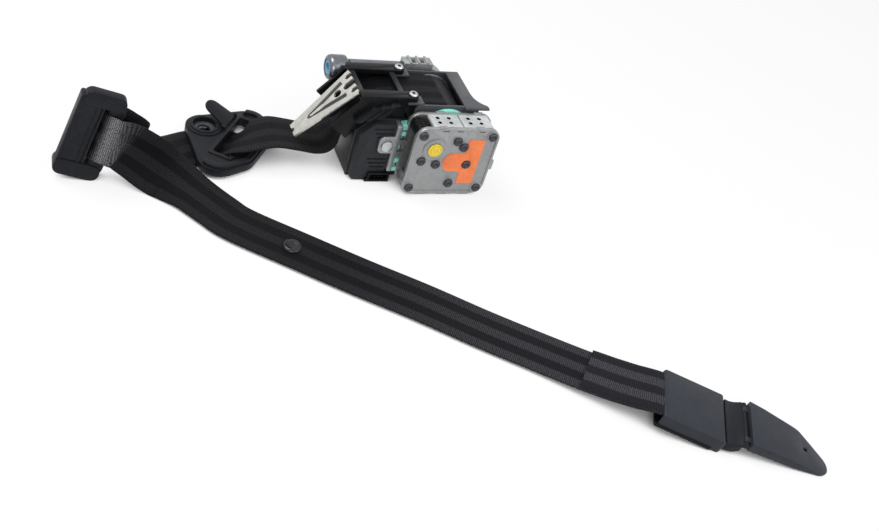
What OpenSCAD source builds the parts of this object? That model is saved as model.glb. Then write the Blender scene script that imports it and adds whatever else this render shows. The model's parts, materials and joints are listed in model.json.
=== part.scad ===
// Motor-tensioned seat belt retractor with its belt laid out on the floor.
// Retractor pieces are drawn about the spool axis: x right, y along the axis to the rear, z up.

/* [Webbing] */
// Width of the webbing
webbing_w = 47; // [44:0.5:50]
// Thickness of the webbing
webbing_t = 1.3; // [1:0.1:1.5]
// Outer radius of the webbing left on the spool
roll_r = 25; // [18:0.5:25.5]

/* [Spool] */
// Radius of the spool core under the webbing
core_r = 9; // [8.8:0.1:12]
// Radius of the spool flanges
flange_r = 26; // [25.5:0.1:26.2]
// Thickness of each flange
flange_t = 2; // [1.5:0.1:3]
// Radius of the journals that run in the bushes
journal_r = 8; // [7:0.1:8.5]
// Radius of the torsion bar inside the spool
bar_r = 5; // [4.5:0.1:6]
// Radius of the turned-down shaft ends
shaft_r = 4; // [3:0.1:4.3]
// Teeth of the lock ratchet
ratchet_teeth = 24; // [16:4:32]
// Outer radius of the lock ratchet
ratchet_r = 20; // [18:0.5:20.5]
// Radius of the clutch housing
clutch_r = 25.6; // [24:0.1:25.8]

/* [Frame] */
// Height of the spool axis above the floor
axis_h = 52; // [52:0.5:60]
// Thickness of the frame's steel
steel_t = 2; // [1.5:0.1:2.5]
// Left edge of the cheeks
cheek_left = -33; // [-34:0.5:-31]
// Right edge of the cheeks and outer face of the web
cheek_right = 31; // [30:0.5:33]
// Top edge of the cheeks
cheek_top = 28; // [27.5:0.1:28.5]
// Bottom edge of the cheeks
cheek_bottom = -51; // [-51.5:0.5:-51]
// Reach of the mounting tab beyond the web
tab_reach = 30; // [24:1:40]
// Width of the mounting tab
tab_w = 34; // [26:1:44]
// Radius of the frame's mounting bolt hole
frame_hole_r = 5.5; // [4:0.1:7]

/* [Gearbox] */
// Left edge of the gear plates
plate_left = -39; // [-39.5:0.5:-38]
// Right edge of the gear plates
plate_right = 44; // [43:0.5:48]
// Bottom edge of the gear plates
plate_bottom = -50; // [-51:0.5:-49]
// Top edge of the gear plates
plate_top = 23.5; // [23.5:0.1:25]
// Corner radius of the gear plates
plate_corner = 11; // [8:0.5:14]
// Thickness of the front gear plate
front_t = 3; // [2:0.1:4]
// Thickness of the rear gear plate
back_t = 2.5; // [2:0.1:4]
// Space between the two gear plates
gear_space = 20; // [19.5:0.5:24]
// Inset of the corner rivets from the plate edges
rivet_inset = 7; // [6:0.5:9]
// Radius of a rivet or axle head
head_r = 4.4; // [3.5:0.1:5]
// Height of a rivet or axle head
head_h = 2.2; // [1.5:0.1:3]

/* [Gears] */
// Module of the gear teeth
gear_module = 0.8; // [0.75:0.01:0.82]
// Teeth of both pinions
pinion_teeth = 16; // [15:1:17]
// Teeth of both wheels
wheel_teeth = 47; // [45:1:47]
// Face width of the gears
gear_w = 7; // [5:0.5:7.5]
// Play between the flanks
backlash = 0.25; // [0.15:0.05:0.4]
// Radius of the idler's axle pin
idler_pin_r = 2; // [1.5:0.1:2.5]
// Radius of the motor shaft
motor_shaft_r = 2; // [1.5:0.1:2.5]
// Radius of the motor can
motor_r = 12; // [10:0.5:12.5]

/* [Control box] */
// Left side of the control box
box_left = -84; // [-88:1:-80]
// Right side of the control box
box_right = -35; // [-36:0.5:-35]
// Top of the control box
box_top = 12; // [8:0.5:12.5]
// Size of the chamfer at the upper left
box_chamfer = 13; // [10:1:16]
// Wall of the control box
box_wall = 2.5; // [1.5:0.1:4]
// Rear face of the control box
box_rear = 20; // [10:1:22]
// Depth of the raised lid on the control box
lid_d = 8; // [6:0.5:9]

/* [Guide and leg] */
// Left end of the guide arms
arm_left = -86; // [-86.5:0.5:-86]
// Width of a guide arm
arm_w = 11; // [9:0.5:12]
// Thickness of a guide arm
arm_t = 4.5; // [3:0.1:5]
// Place of the Torx screws along x
screw_x = -35.5; // [-37:0.5:-35]
// Length of the bright mounting leg
leg_len = 73; // [64:1:80]
// Width of the leg at its scalloped end
leg_wide = 35; // [32:0.5:36]
// Width of the leg at its tip
leg_tip = 16; // [14:0.5:20]
// Thickness of the leg
leg_t = 2.5; // [2:0.1:3]
// Radius of the hole in the leg
leg_hole_r = 4; // [3:0.1:4.5]

/* [Pretensioner and spring] */
// Radius of the gas generator tube
tube_r = 8.5; // [7:0.1:9]
// Radius of the gas generator head
gen_head_r = 12; // [10.5:0.1:13]
// Radius of the rear casting
cover_r = 26; // [25:0.1:26.2]
// Radius of the spring cover
spring_r = 21; // [19:0.5:24]
// Depth of the rear casting
casting_d = 12; // [10:0.5:14]
// Depth of the spring cover
spring_cover_d = 13; // [11:0.5:16]

/* [Tongue] */
// Height of the tongue as it stands on its edge
tongue_h = 86; // [84:1:92]
// Width of the tongue grip
tongue_w = 38; // [36:1:42]
// Thickness of the tongue grip
tongue_t = 10; // [8:0.5:10.5]
// Thickness of the tongue's steel
tongue_steel = 2.5; // [2:0.1:3]
// Length of the latch blade beyond the grip
blade_len = 36; // [30:1:38]
// Width of the latch blade
blade_w = 24; // [20:0.5:28]

/* [Pillar loop] */
// Radius of the loop's bolt eye
eye_hole_r = 6; // [5:0.1:7]
// Length of the loop's belt slot
loop_slot = 62; // [61:0.5:66]
// Thickness of the loop's base
loop_t = 7; // [6:0.5:8]
// Outer radius of the ring around the loop's eye
eye_ring_r = 17; // [15:0.5:18]
// Radius of the loop's rounded ends
loop_end_r = 18; // [16:0.5:20]
// Thickness of the loop's steel
loop_steel = 3; // [2:0.1:3.5]

/* [End anchor] */
// Length of the anchor sleeve
sleeve_len = 57.5; // [54:0.5:62]
// Width of the anchor sleeve
sleeve_w = 54; // [53.5:0.5:60]
// Height of the anchor sleeve
sleeve_h = 13; // [12.6:0.1:15]
// Length of the anchor cap
cap_len = 74; // [70:1:84]
// Width of the anchor cap
cap_w = 48; // [46:0.5:54]
// Radius of the anchor's bolt hole
anchor_hole_r = 5.75; // [5:0.05:6.5]
// Thickness of the anchor's steel
anchor_steel = 3; // [2:0.1:3.5]

/* [Hidden] */
$fn = 48;

// Clearances
run_gap = 0.08;
seat_gap = 0.05;
free_gap = 0.3;

// Where the sub-assemblies lie on the floor
ret_at = [62, 180, axis_h];
tongue_at = [-262.3, 149.5, 3];
tongue_yaw = -3.3;
tongue_lean = 14.9;
loop_at = [-143.5, 208.5, 3.4];
loop_yaw = -35;
anchor_yaw = -28.7;
anchor_pitch = 9;
anchor_at = [157.1, -151.8, sleeve_len * sin(anchor_pitch)];
button_at = [-98, 49.4, 0];
middle = [3.16, 1.55, -0.06];

// Stations along the spool axis, front negative
roll_half = webbing_w / 2;
flange_in = roll_half + 0.5;
flange_out = flange_in + flange_t;
cheek_in = flange_out + 1;
cheek_out = cheek_in + steel_t;
clutch_t = 3;
back_rear = -cheek_out - clutch_t;
back_face = back_rear - back_t;
front_rear = back_face - gear_space;
front_face = front_rear - front_t;
wheel_b = [back_face - 1.5 - gear_w, back_face - 1.5];
wheel_a = [front_rear + 1.5, front_rear + 1.5 + gear_w];
ratchet_y = [cheek_out + 1, cheek_out + 5];
casting_y = [ratchet_y[1] + 1, ratchet_y[1] + 1 + casting_d];
spring_y = [casting_y[1], casting_y[1] + spring_cover_d];

// Gear train
centre_d = gear_module * (pinion_teeth + wheel_teeth) / 2;
idler_dir = -40.7;
motor_dir = -118.3;
idler_at = centre_d * [cos(idler_dir), sin(idler_dir)];
motor_at = idler_at + centre_d * [cos(motor_dir), sin(motor_dir)];

// Heads on the front gear plate
rivet_at = [for (x = [plate_left + rivet_inset, plate_right - rivet_inset],
    z = [plate_bottom + rivet_inset, plate_top - rivet_inset - 1]) [x, z]];
head_at = [[3.8, 9.3], [11.3, 2.9], [-27.2, -13.4], [-11.8, -16.7], motor_at];
cap_at = [-17.2, 0.4];
cap_r = 6.75;
rivet_r = 2;

floor_z = -axis_h;
arm_y = cheek_out - arm_w / 2 - 1.5;
arm_base = cheek_top + steel_t;
arm_top = arm_base + arm_t;
leg_at = [-88, -5, arm_top + 1.5];
leg_angle = 130;
tube_y = ratchet_y[1] + 6;
tube_z = 20;
pawl_at = [25, -13];

// Shapes that several pieces use

module at_retractor() translate(ret_at - middle) children();
module at_tongue() translate(tongue_at - middle) rotate([0, tongue_lean, tongue_yaw]) children();
module at_loop() translate(loop_at - middle) rotate([0, 0, loop_yaw]) children();
module at_anchor() translate(anchor_at - middle) rotate([0, anchor_pitch, anchor_yaw]) children();
module at_leg() translate(leg_at) rotate([0, leg_angle, 0]) children();

// Profile drawn in x and z, extruded along y
module prism(y0, y1) translate([0, y1, 0]) rotate([90, 0, 0]) linear_extrude(y1 - y0) children();
module rod(r, y0, y1, p = [0, 0]) translate([p[0], y1, p[1]]) rotate([90, 0, 0]) cylinder(r = r, h = y1 - y0);
module rod_x(r, x0, x1, y, z) translate([x0, y, z]) rotate([0, 90, 0]) cylinder(r = r, h = x1 - x0);
module block(low, high) translate(low) cube(high - low);

module rounded(low, high, r) {
    translate([low[0] + r, low[1]]) square([high[0] - low[0] - 2 * r, high[1] - low[1]]);
    translate([low[0], low[1] + r]) square([high[0] - low[0], high[1] - low[1] - 2 * r]);
    for (x = [low[0] + r, high[0] - r], y = [low[1] + r, high[1] - r]) translate([x, y]) circle(r);
}

// Domed head on a face that looks towards the front, with its shank behind
module front_rivet(p, face, shank_r, shank_end) {
    translate([p[0], face, p[1]]) rotate([90, 0, 0]) rotate_extrude()
        polygon([[0, 0], [head_r, 0], [head_r, head_h * 0.45], [head_r * 0.8, head_h * 0.85],
            [head_r * 0.45, head_h], [0, head_h]]);
    rod(shank_r, face, shank_end, p);
}

// Involute spur gear; phase is the direction of one tooth
function involute(a) = tan(a) * 180 / PI - a;
function flank(r, rb, rp, half) = half + involute(20) - involute(acos(min(1, rb / max(r, rb)))) ;
module gear(teeth, phase) {
    rp = gear_module * teeth / 2;
    rb = rp * cos(20);
    tip = rp + 0.9 * gear_module;
    root = rp - 1.15 * gear_module;
    half = 90 / teeth - backlash / 2 / rp * 90 / PI;
    side = [for (r = [root, max(root, rb), rp, tip]) [r, flank(r, rb, rp, half)]];
    polygon([for (k = [0:teeth - 1], s = [-1, 1], i = [0:3])
        let (q = s < 0 ? side[i] : side[3 - i], a = phase + k * 360 / teeth + s * q[1])
        q[0] * [cos(a), sin(a)]]);
}

// Spool and frame

module frame() color("#232427") at_retractor() difference() {
    union() {
        for (s = [-1, 1]) {
            prism(s < 0 ? -cheek_out : cheek_in, s < 0 ? -cheek_in : cheek_out)
                rounded([cheek_left, cheek_bottom], [cheek_right, cheek_top], 5);
            block([screw_x - 5.5, s < 0 ? -cheek_out : arm_y - arm_w / 2, cheek_top],
                [screw_x + 10, s < 0 ? -arm_y + arm_w / 2 : cheek_out, arm_base]);
        }
        block([cheek_right - steel_t, -cheek_in, -44], [cheek_right, cheek_in, cheek_top - 5]);
        translate([0, 0, cheek_top - steel_t]) linear_extrude(steel_t)
            polygon([[16, cheek_out], [cheek_right - 2, cheek_out], [cheek_right - 2, -8], [cheek_right - 1, -15],
                [cheek_right + 1.5, -20], [cheek_right + 5, -24], [cheek_right + 9, -cheek_in],
                [cheek_right + 9, -cheek_out - 2.5], [16, -cheek_out - 2.5]]);
        block([cheek_right - 3 - steel_t, -cheek_in, cheek_top - 8], [cheek_right - 3, cheek_in, cheek_top]);
        block([cheek_right - 3 - steel_t, -cheek_in, cheek_top - 8], [cheek_right, cheek_in, cheek_top - 6]);
        block([cheek_right - steel_t, -tab_w / 2, -40], [cheek_right + tab_reach - tab_w / 2, tab_w / 2, -37.5]);
        translate([cheek_right + tab_reach - tab_w / 2, 0, -40]) cylinder(r = tab_w / 2, h = 2.5);
    }
    rod(journal_r + 3, -cheek_out - 1, cheek_out + 1);
    rod(motor_shaft_r + 2, -cheek_out - 1, -cheek_in + 1, motor_at);
    rod(3.05, cheek_in - 1, cheek_out + 1, pawl_at);
    for (s = [-1, 1]) translate([screw_x, s * arm_y, cheek_top - 1]) cylinder(r = 2.25, h = 4);
    translate([cheek_right + tab_reach - tab_w / 2, 0, -41]) cylinder(r = frame_hole_r, h = 5);
    for (y = [-13, 13]) block([cheek_right - steel_t - 1, y - 7, -28], [cheek_right + 1, y + 7, 6]);
}

module shaft_bushes() color("#e8e4d8") at_retractor() for (s = [-1, 1]) difference() {
    rod(journal_r + 3 - seat_gap, s < 0 ? -cheek_out : cheek_in, s < 0 ? -cheek_in : cheek_out);
    rod(journal_r + run_gap, -cheek_out - 1, cheek_out + 1);
}

module spool() color("#3a3b3f") at_retractor() difference() {
    union() {
        rod(core_r, -flange_out, flange_out);
        for (s = [-1, 1]) {
            rod(flange_r, s < 0 ? -flange_out : flange_in, s < 0 ? -flange_in : flange_out);
            rod(journal_r, s < 0 ? -cheek_out - 0.2 : flange_out, s < 0 ? -flange_out : cheek_out + 0.2);
        }
    }
    rod(bar_r + seat_gap, -cheek_out - 1, cheek_out + 1);
    block([-1.5, -roll_half, bar_r + 1], [1.5, roll_half, core_r + 1]);
}

module webbing_roll() color("#2b2c30") at_retractor() difference() {
    rod(roll_r, -roll_half, roll_half);
    rod(core_r + seat_gap, -roll_half - 1, roll_half + 1);
}

module torsion_bar() color("#b9bcc0") at_retractor() {
    rod(bar_r, -cheek_out - 0.2, ratchet_y[1]);
    rod(shaft_r, front_rear + 0.5, -cheek_out - 0.2);
    rod(shaft_r, ratchet_y[1], spring_y[1] - 4);
}

module clutch_hub() color("#8d9096") at_retractor() difference() {
    rod(13, back_rear + 0.3, -cheek_out - 0.3);
    rod(shaft_r + seat_gap, back_rear - 1, -cheek_out + 1);
    for (a = [0:60:300]) rod(2.2, back_rear - 1, -cheek_out + 1, 13 * [cos(a), sin(a)]);
}

module lock_ratchet() color("#9a9da2") at_retractor() difference() {
    prism(ratchet_y[0], ratchet_y[1]) polygon([for (k = [0:ratchet_teeth - 1], i = [0, 1])
        let (a = (k + i * 0.75) * 360 / ratchet_teeth) (i == 0 ? ratchet_r - 3 : ratchet_r) * [cos(a), sin(a)]]);
    rod(bar_r + seat_gap, ratchet_y[0] - 1, ratchet_y[1] + 1);
    for (a = [30:60:330]) rod(2.5, ratchet_y[0] - 1, ratchet_y[1] + 1, 11 * [cos(a), sin(a)]);
}

module spring_arbor() color("#d9d5c8") at_retractor() difference() {
    rod(shaft_r + 1.8, spring_y[0] + 0.5, spring_y[1] - 3);
    rod(shaft_r + seat_gap, spring_y[0], spring_y[1]);
    block([shaft_r + 0.6, spring_y[0], -0.4], [shaft_r + 3, spring_y[1], 0.4]);
}

// Clutch housing and gearbox

module clutch_housing() color("#7ecdbd") at_retractor() difference() {
    union() {
        prism(back_rear, -cheek_out - seat_gap) {
            circle(clutch_r);
            rounded([plate_left - 2.5, -42], [0, 12], 3);
        }
        for (z = [9, 2, -28, -38]) block([plate_left - 4.8, back_face - 3, z - 2.2],
            [plate_left - 0.5, -cheek_out - seat_gap, z + 2.2]);
    }
    rod(14, back_rear - 1, -cheek_out + 1);
}

module plate_outline() rounded([plate_left, plate_bottom], [plate_right, plate_top], plate_corner);
module plate_rim(y0, y1) prism(y0, y1) difference() {
    plate_outline();
    rounded([plate_left + 2, plate_bottom + 2], [plate_right - 2, plate_top - 2], plate_corner - 2);
}

module gear_back_plate() color("#9b9b98") at_retractor() difference() {
    union() {
        prism(back_face, back_rear) {
            plate_outline();
            for (x = [-14, 24]) translate([x, plate_top - 1]) square([9, 2.2]);
        }
        plate_rim(back_face - 1.2, back_face);
        for (p = rivet_at) rod(4.5, front_rear, back_face, p);
    }
    rod(shaft_r + free_gap, back_face - 1, back_rear + 1);
    rod(motor_shaft_r + free_gap, back_face - 1, back_rear + 1, motor_at);
    rod(idler_pin_r + seat_gap, back_face - 1, back_rear + 1, idler_at);
    for (p = rivet_at) rod(rivet_r + seat_gap, front_rear - 1, back_rear + 1, p);
}

module gear_front_plate() color("#a3a3a0") at_retractor() difference() {
    union() {
        prism(front_face, front_rear) {
            plate_outline();
            for (x = [-18, 19]) translate([x, plate_top - 1]) square([8, 2]);
            for (x = [-22, 0, 22]) translate([x, floor_z]) square([9, plate_bottom - floor_z + 1]);
            translate([plate_right - 1, -22]) square([4, 10]);
        }
        plate_rim(front_face - 0.8, front_face);
        for (p = rivet_at) rod(head_r + 1.6, front_face - 0.8, front_face, p);
        rod(11.5, front_face - 1.2, front_face, cap_at);
    }
    rod(cap_r + seat_gap, front_face - 2, front_face + 1, cap_at);
    rod(idler_pin_r + seat_gap, front_face - 1, front_rear + 1, idler_at);
    for (p = rivet_at) rod(rivet_r + seat_gap, front_face - 1, front_rear + 1, p);
    for (p = head_at) rod(rivet_r + seat_gap, front_face - 1, front_rear + 1, p);
    for (x = [-14, 0, 22]) block([x, front_face - 2, plate_top - 3.6], [x + 6, front_face + 1.5, plate_top - 2.4]);
}

module corner_rivets() color("#45474b") at_retractor()
    for (p = rivet_at) front_rivet(p, front_face - 0.8, rivet_r, back_rear);

module axle_heads() color("#45474b") at_retractor()
    for (p = head_at) front_rivet(p, front_face, rivet_r, front_rear);

module idler_axle() color("#45474b") at_retractor() front_rivet(idler_at, front_face, idler_pin_r, back_rear);

module bearing_cap() color("#e8c33a") at_retractor() difference() {
    union() {
        rod(cap_r, front_face - 2.6, front_face + 1, cap_at);
        rod(cap_r - 2, front_face - 3.2, front_face - 2.6, cap_at);
    }
    for (a = [0:120:240]) translate([cap_at[0], 0, cap_at[1]]) rotate([0, a, 0])
        block([1.2, front_face - 4, -0.5], [3.8, front_face - 2.4, 0.5]);
}

module blank_label() color("#ef7d46") at_retractor() prism(front_face - 0.3, front_face) difference() {
    union() {
        translate([14.5, -38.5]) square([16.5, 50]);
        translate([5, -24.5]) square([10, 21]);
        translate([5, -14]) circle(10.5);
    }
    for (p = concat(head_at, [idler_at])) translate(p) circle(head_r + 0.2);
}

module spacer_blocks() color("#c9cac8") at_retractor() for (x = [-23, 7.5]) difference() {
    block([x, front_rear, plate_top - 3.1], [x + 29, back_face - 1.2 - seat_gap, plate_top - 0.1]);
    for (i = [0, 1], j = [0, 1]) translate([x + 8 + 11 * i, front_rear + 6.5 + 7 * j, plate_top - 2])
        cylinder(r = 1.3, h = 3);
}

module ribbed_grommet() color("#1d1d1f") at_retractor() difference() {
    union() {
        rod(6, front_rear + 1, back_face - 2.4, rivet_at[1]);
        for (k = [0:5]) rod(7, front_rear + 2 + 2.5 * k, front_rear + 3.2 + 2.5 * k, rivet_at[1]);
    }
    rod(4.5 + seat_gap, front_rear - 1, back_face + 1, rivet_at[1]);
}

module drive_wheel() color("#c8b27a") at_retractor() difference() {
    union() {
        prism(wheel_b[0], wheel_b[1]) gear(wheel_teeth, idler_dir);
        rod(8, wheel_b[0] - 2, wheel_b[1] + 1);
    }
    rod(shaft_r + run_gap, front_rear, back_rear);
    for (a = [0:60:300]) rod(3, wheel_b[0] - 3, wheel_b[1] + 2, 12.5 * [cos(a), sin(a)]);
}

module idler_gear() color("#d8d2c2") at_retractor() difference() {
    translate([idler_at[0], 0, idler_at[1]]) {
        prism(wheel_a[0], wheel_a[1]) gear(wheel_teeth, motor_dir);
        prism(wheel_a[1], wheel_b[1]) gear(pinion_teeth, idler_dir + 180 + 180 / pinion_teeth);
    }
    rod(idler_pin_r + run_gap, front_rear, back_rear, idler_at);
    for (a = [15:60:315]) rod(2.6, wheel_a[0] - 1, wheel_a[1] - 1.5, idler_at + 12.5 * [cos(a), sin(a)]);
}

// Motor

module motor_can() color("#7c7f85") at_retractor() difference() {
    union() {
        rod(motor_r, -cheek_in, cheek_in - 5, motor_at);
        rod(5, cheek_in - 5, cheek_in - 2, motor_at);
    }
    rod(motor_r - 1.2, -cheek_in + 1.5, cheek_in - 6.5, motor_at);
    rod(motor_shaft_r + run_gap, -cheek_in - 1, cheek_in - 3.5, motor_at);
}

module motor_shaft() color("#c3c5c8") at_retractor() {
    rod(motor_shaft_r, wheel_a[0], cheek_in - 4, motor_at);
    difference() {
        rod(motor_r - 2.5, -cheek_in + 6, cheek_in - 12, motor_at);
        rod(motor_shaft_r - 0.5, -cheek_in, cheek_in, motor_at);
        for (a = [0:45:315]) rod(1, -cheek_in, cheek_in, motor_at + (motor_r - 2.5) * [cos(a), sin(a)]);
    }
}

module motor_pinion() color("#c9a24c") at_retractor() difference() {
    translate([motor_at[0], 0, motor_at[1]]) prism(wheel_a[0], wheel_a[1])
        gear(pinion_teeth, motor_dir + 180 + 180 / pinion_teeth);
    rod(motor_shaft_r + 0.01, wheel_a[0] - 1, wheel_a[1] + 1, motor_at);
}

// Control box at the left

box_front = -cheek_out + 0.5;

module box_outline(inset) polygon([[box_left + inset, floor_z + inset], [box_right - inset, floor_z + inset],
    [box_right - inset, box_top - inset], [box_left + box_chamfer + inset * 0.41, box_top - inset],
    [box_left + inset, box_top - box_chamfer - inset * 0.41]]);

module control_case() color("#2a2b2f") at_retractor() difference() {
    prism(box_front + box_wall, box_rear) box_outline(0);
    prism(box_front + box_wall - 1, box_rear - box_wall) box_outline(box_wall);
}

lid_right = plate_left - 10.5;
lid_front = box_front - lid_d;

module lid_outline() polygon([[box_left + 1.5, floor_z + 4], [box_left + 4.5, floor_z + 1], [lid_right, floor_z + 1],
    [lid_right, box_top - 1], [box_left + box_chamfer + 1, box_top - 1], [box_left + 1.5, box_top - box_chamfer]]);

module control_cover() color("#3b3c41") at_retractor() difference() {
    union() {
        prism(box_front, box_front + box_wall) box_outline(0);
        prism(lid_front, box_front) lid_outline();
    }
    for (z = [box_top - 7, floor_z + 24], k = [0:2])
        block([box_left + 14 + 2 * k, lid_front - 1, z - 4.5 * k], [lid_right - 2, lid_front + 1.1, z - 4.5 * k + 1.7]);
    block(shroud_low - [seat_gap, 1, 1], shroud_high + [seat_gap, 0, seat_gap]);
}

shroud_low = [-66, lid_front - 2.5, floor_z];
shroud_high = [plate_left - 5.3, box_front, floor_z + 10];

module connector_shroud() color("#17181a") at_retractor() difference() {
    union() {
        block(shroud_low, shroud_high);
        block(shroud_low + [-2, 0, 0], [shroud_high[0], lid_front - seat_gap, floor_z + 3]);
    }
    block(shroud_low + [1.8, -1, 1.8], shroud_high + [-1.8, -2, -1.8]);
}

module connector_pins() color("#cfb565") at_retractor() for (i = [0:3], z = [3.6, 6.4])
    rod(0.5, box_front - 7, box_front - 2, [shroud_low[0] + 5 + 3.6 * i, floor_z + z]);

pin_at = [-56, -10];

module box_bracket() color("#a8a8a4") at_retractor() difference() {
    union() {
        prism(lid_front - 2.7, lid_front) rounded([-63.5, -19], [plate_left - 5.3, -1], 5);
        prism(lid_front - 2.7, box_front) rounded([lid_right + 0.2, floor_z + 12.5], [plate_left - 5.3, 11], 1.5);
        for (z = [-22, -9]) block([-47, lid_front - 2.7, z], [plate_left + 2, back_face - 1.2 - seat_gap, z + 5]);
    }
    rod(2.5 + seat_gap, lid_front - 4, lid_front + 1, pin_at);
}

module knurled_pin() color("#d4d2cb") at_retractor() {
    prism(lid_front - 5.5, lid_front - 2.7) translate(pin_at) polygon([for (k = [0:47])
        (k % 2 == 0 ? 5.6 : 5.1) * [cos(k * 7.5), sin(k * 7.5)]]);
    rod(2.5, lid_front - 2.7, lid_front, pin_at);
}

// Belt guide and mounting leg

module chute_side() polygon([[screw_x, box_top + 0.6], [box_left + box_chamfer - 0.3, box_top + 0.6],
    [box_left - 2, box_top - box_chamfer - 1.4], [-92, -11.1], [-108, 2.5], [-85.2, arm_base], [screw_x, arm_base]]);

module belt_guide() color("#202124") at_retractor() difference() {
    union() {
        for (s = [-1, 1]) {
            translate([0, s * arm_y, arm_base]) linear_extrude(arm_t) {
                translate([arm_left, -arm_w / 2]) square([screw_x - arm_left, arm_w]);
                translate([screw_x, 0]) circle(arm_w / 2);
            }
            prism(s < 0 ? -cheek_out + 1.5 : roll_half + 1, s < 0 ? -roll_half - 1 : cheek_out - 1.5)
                difference() {
                    chute_side();
                    translate([screw_x - 6, box_top - 1]) square([10, 30]);
                }
        }
        for (k = [0:2]) prism(-cheek_out - 5, -cheek_out + 2)
            polygon([for (p = [[-50, 29.5], [-56, 29.5], [-71, 14.5], [-65, 14.5]]) p - [k * 9, k * 2]]);
        block([-47, -arm_y, arm_base - 1], [-42, arm_y, arm_top - 1.5]);
        block([arm_left + 0.3, -arm_y, arm_base - 0.5], [-81, arm_y, arm_top - 1]);
        at_leg() block([1, -leg_wide / 2 + 3, leg_t], [44, leg_wide / 2 - 3, leg_t + 3]);
    }
    for (s = [-1, 1]) translate([screw_x, s * arm_y, arm_base - 1]) cylinder(r = 2.25, h = arm_t + 2);
    at_leg() translate([19, 0, 0]) cylinder(r = leg_hole_r + 1.5, h = 12);
}

module guide_screws() color("#9a9ca0") at_retractor() for (s = [-1, 1]) translate([screw_x, s * arm_y, 0])
    difference() {
        union() {
            translate([0, 0, arm_top]) rotate_extrude()
                polygon([[0, 0], [4.2, 0], [4.2, 1.2], [3.4, 2.2], [0, 2.4]]);
            translate([0, 0, cheek_top - 1.5]) cylinder(r = 2.2, h = arm_top - cheek_top + 1.5);
        }
        for (a = [0, 60, 120]) translate([0, 0, arm_top + 1]) rotate([0, 0, a]) linear_extrude(3)
            square([4, 1.2], center = true);
    }

module leg_outline() difference() {
    polygon([[0, -leg_wide / 2], [0, leg_wide / 2], [leg_len, leg_tip / 2], [leg_len, -leg_tip / 2]]);
    translate([-1, -3.8]) square([9, 7.6]);
    translate([8, 0]) circle(3.8);
    for (s = [-1, 1]) {
        translate([-1, s * leg_wide * 0.29 - 2.6]) square([5, 5.2]);
        translate([4, s * leg_wide * 0.29]) circle(2.6);
        translate([0, s * leg_wide * 0.46]) circle(1.5);
    }
    translate([leg_len, 0]) circle(2.6);
}

leg_v = leg_wide / 2 - 6;
leg_apex = leg_len * 0.73;

module leg_groove() polygon([[12, leg_v], [leg_apex, 2.4], [leg_apex + 2, 0], [leg_apex, -2.4], [12, -leg_v],
    [11, 5 - leg_v], [leg_apex - 14, -0.8], [leg_apex - 12.5, 0], [leg_apex - 14, 0.8], [11, leg_v - 5]]);

module mounting_leg() color("#d9d7d0") at_retractor() at_leg() difference() {
    linear_extrude(leg_t) leg_outline();
    translate([0, 0, -1]) linear_extrude(leg_t + 2) leg_groove();
    translate([19, 0, -1]) cylinder(r = leg_hole_r, h = leg_t + 2);
}

// Pretensioner, spring and lock at the rear

gen_left = -98;
gen_neck = -77;

module generator_tube() color("#6d7077") at_retractor() rod_x(tube_r, gen_neck, -24, tube_y, tube_z);

module generator_cap() color("#7b7e85") at_retractor() difference() {
    translate([gen_neck, tube_y, tube_z]) rotate([0, -90, 0]) rotate_extrude()
        polygon([[0, 0], [tube_r - 1.5, 0], [tube_r - 1.5, 3], [gen_head_r - 1.5, 5], [gen_head_r, 8],
            [gen_head_r, gen_neck - gen_left - 6], [gen_head_r - 1.2, gen_neck - gen_left - 2.5],
            [gen_head_r - 3, gen_neck - gen_left], [0, gen_neck - gen_left]]);
    rod_x(7.5, gen_left - 1, gen_left + 11, tube_y, tube_z);
}

module igniter_socket() color("#5a96b4") at_retractor() difference() {
    rod_x(7.5 - seat_gap, gen_left + 0.6, gen_left + 11, tube_y, tube_z);
    rod_x(4.2, gen_left, gen_left + 9, tube_y, tube_z);
}

module rear_casting() color("#b4b7b8") at_retractor() difference() {
    union() {
        rod(cover_r, casting_y[0], casting_y[1]);
        block([-2 * leg_t - 45, tube_y - tube_r + 1, tube_z - tube_r - 2], [-22, casting_y[1], tube_z - 2]);
        block([-24, casting_y[0], 8], [5, casting_y[1], tube_z + tube_r + 2.5]);
        for (p = [[-22, -16], [20, 18]]) rod(3.5, cheek_out, casting_y[0], p);
        for (x = [-19, -10.5, -2]) block([x, casting_y[0], 24], [x + 2.2, casting_y[1], tube_z + tube_r + 4]);
    }
    rod(shaft_r + 3, casting_y[0] - 1, casting_y[1] + 1);
    rod_x(tube_r + seat_gap, -52, -23.9, tube_y, tube_z);
    for (x = [-16, -7.5]) block([x, casting_y[0] + 2, 24], [x + 4.6, casting_y[1] - 2, tube_z + tube_r + 5]);
}

module spring_cover() color("#26272a") at_retractor() difference() {
    union() {
        rod(spring_r, spring_y[0], spring_y[1]);
        for (a = [45:90:315]) rod(3.5, spring_y[0], spring_y[0] + 4, (spring_r + 1) * [cos(a), sin(a)]);
    }
    rod(spring_r - 2, spring_y[0] - 1, spring_y[1] - 2);
}

spring_turns = 5;
spring_in = shaft_r + 2.3;
spring_out = spring_r - 2.7;
spring_steps = spring_turns * 24;
function spiral(i, off) = (spring_in + (spring_out - spring_in) * i / spring_steps + off)
    * [cos(i * 15), sin(i * 15)];

module mainspring() color("#8f949b") at_retractor() prism(spring_y[0] + 1.5, spring_y[1] - 4)
    polygon(concat([for (i = [0:spring_steps]) spiral(i, 0)], [for (i = [spring_steps:-1:0]) spiral(i, 0.4)]));

module pawl_pin() color("#b9bcc0") at_retractor() rod(3, cheek_in, ratchet_y[1] + 0.7, pawl_at);

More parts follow.
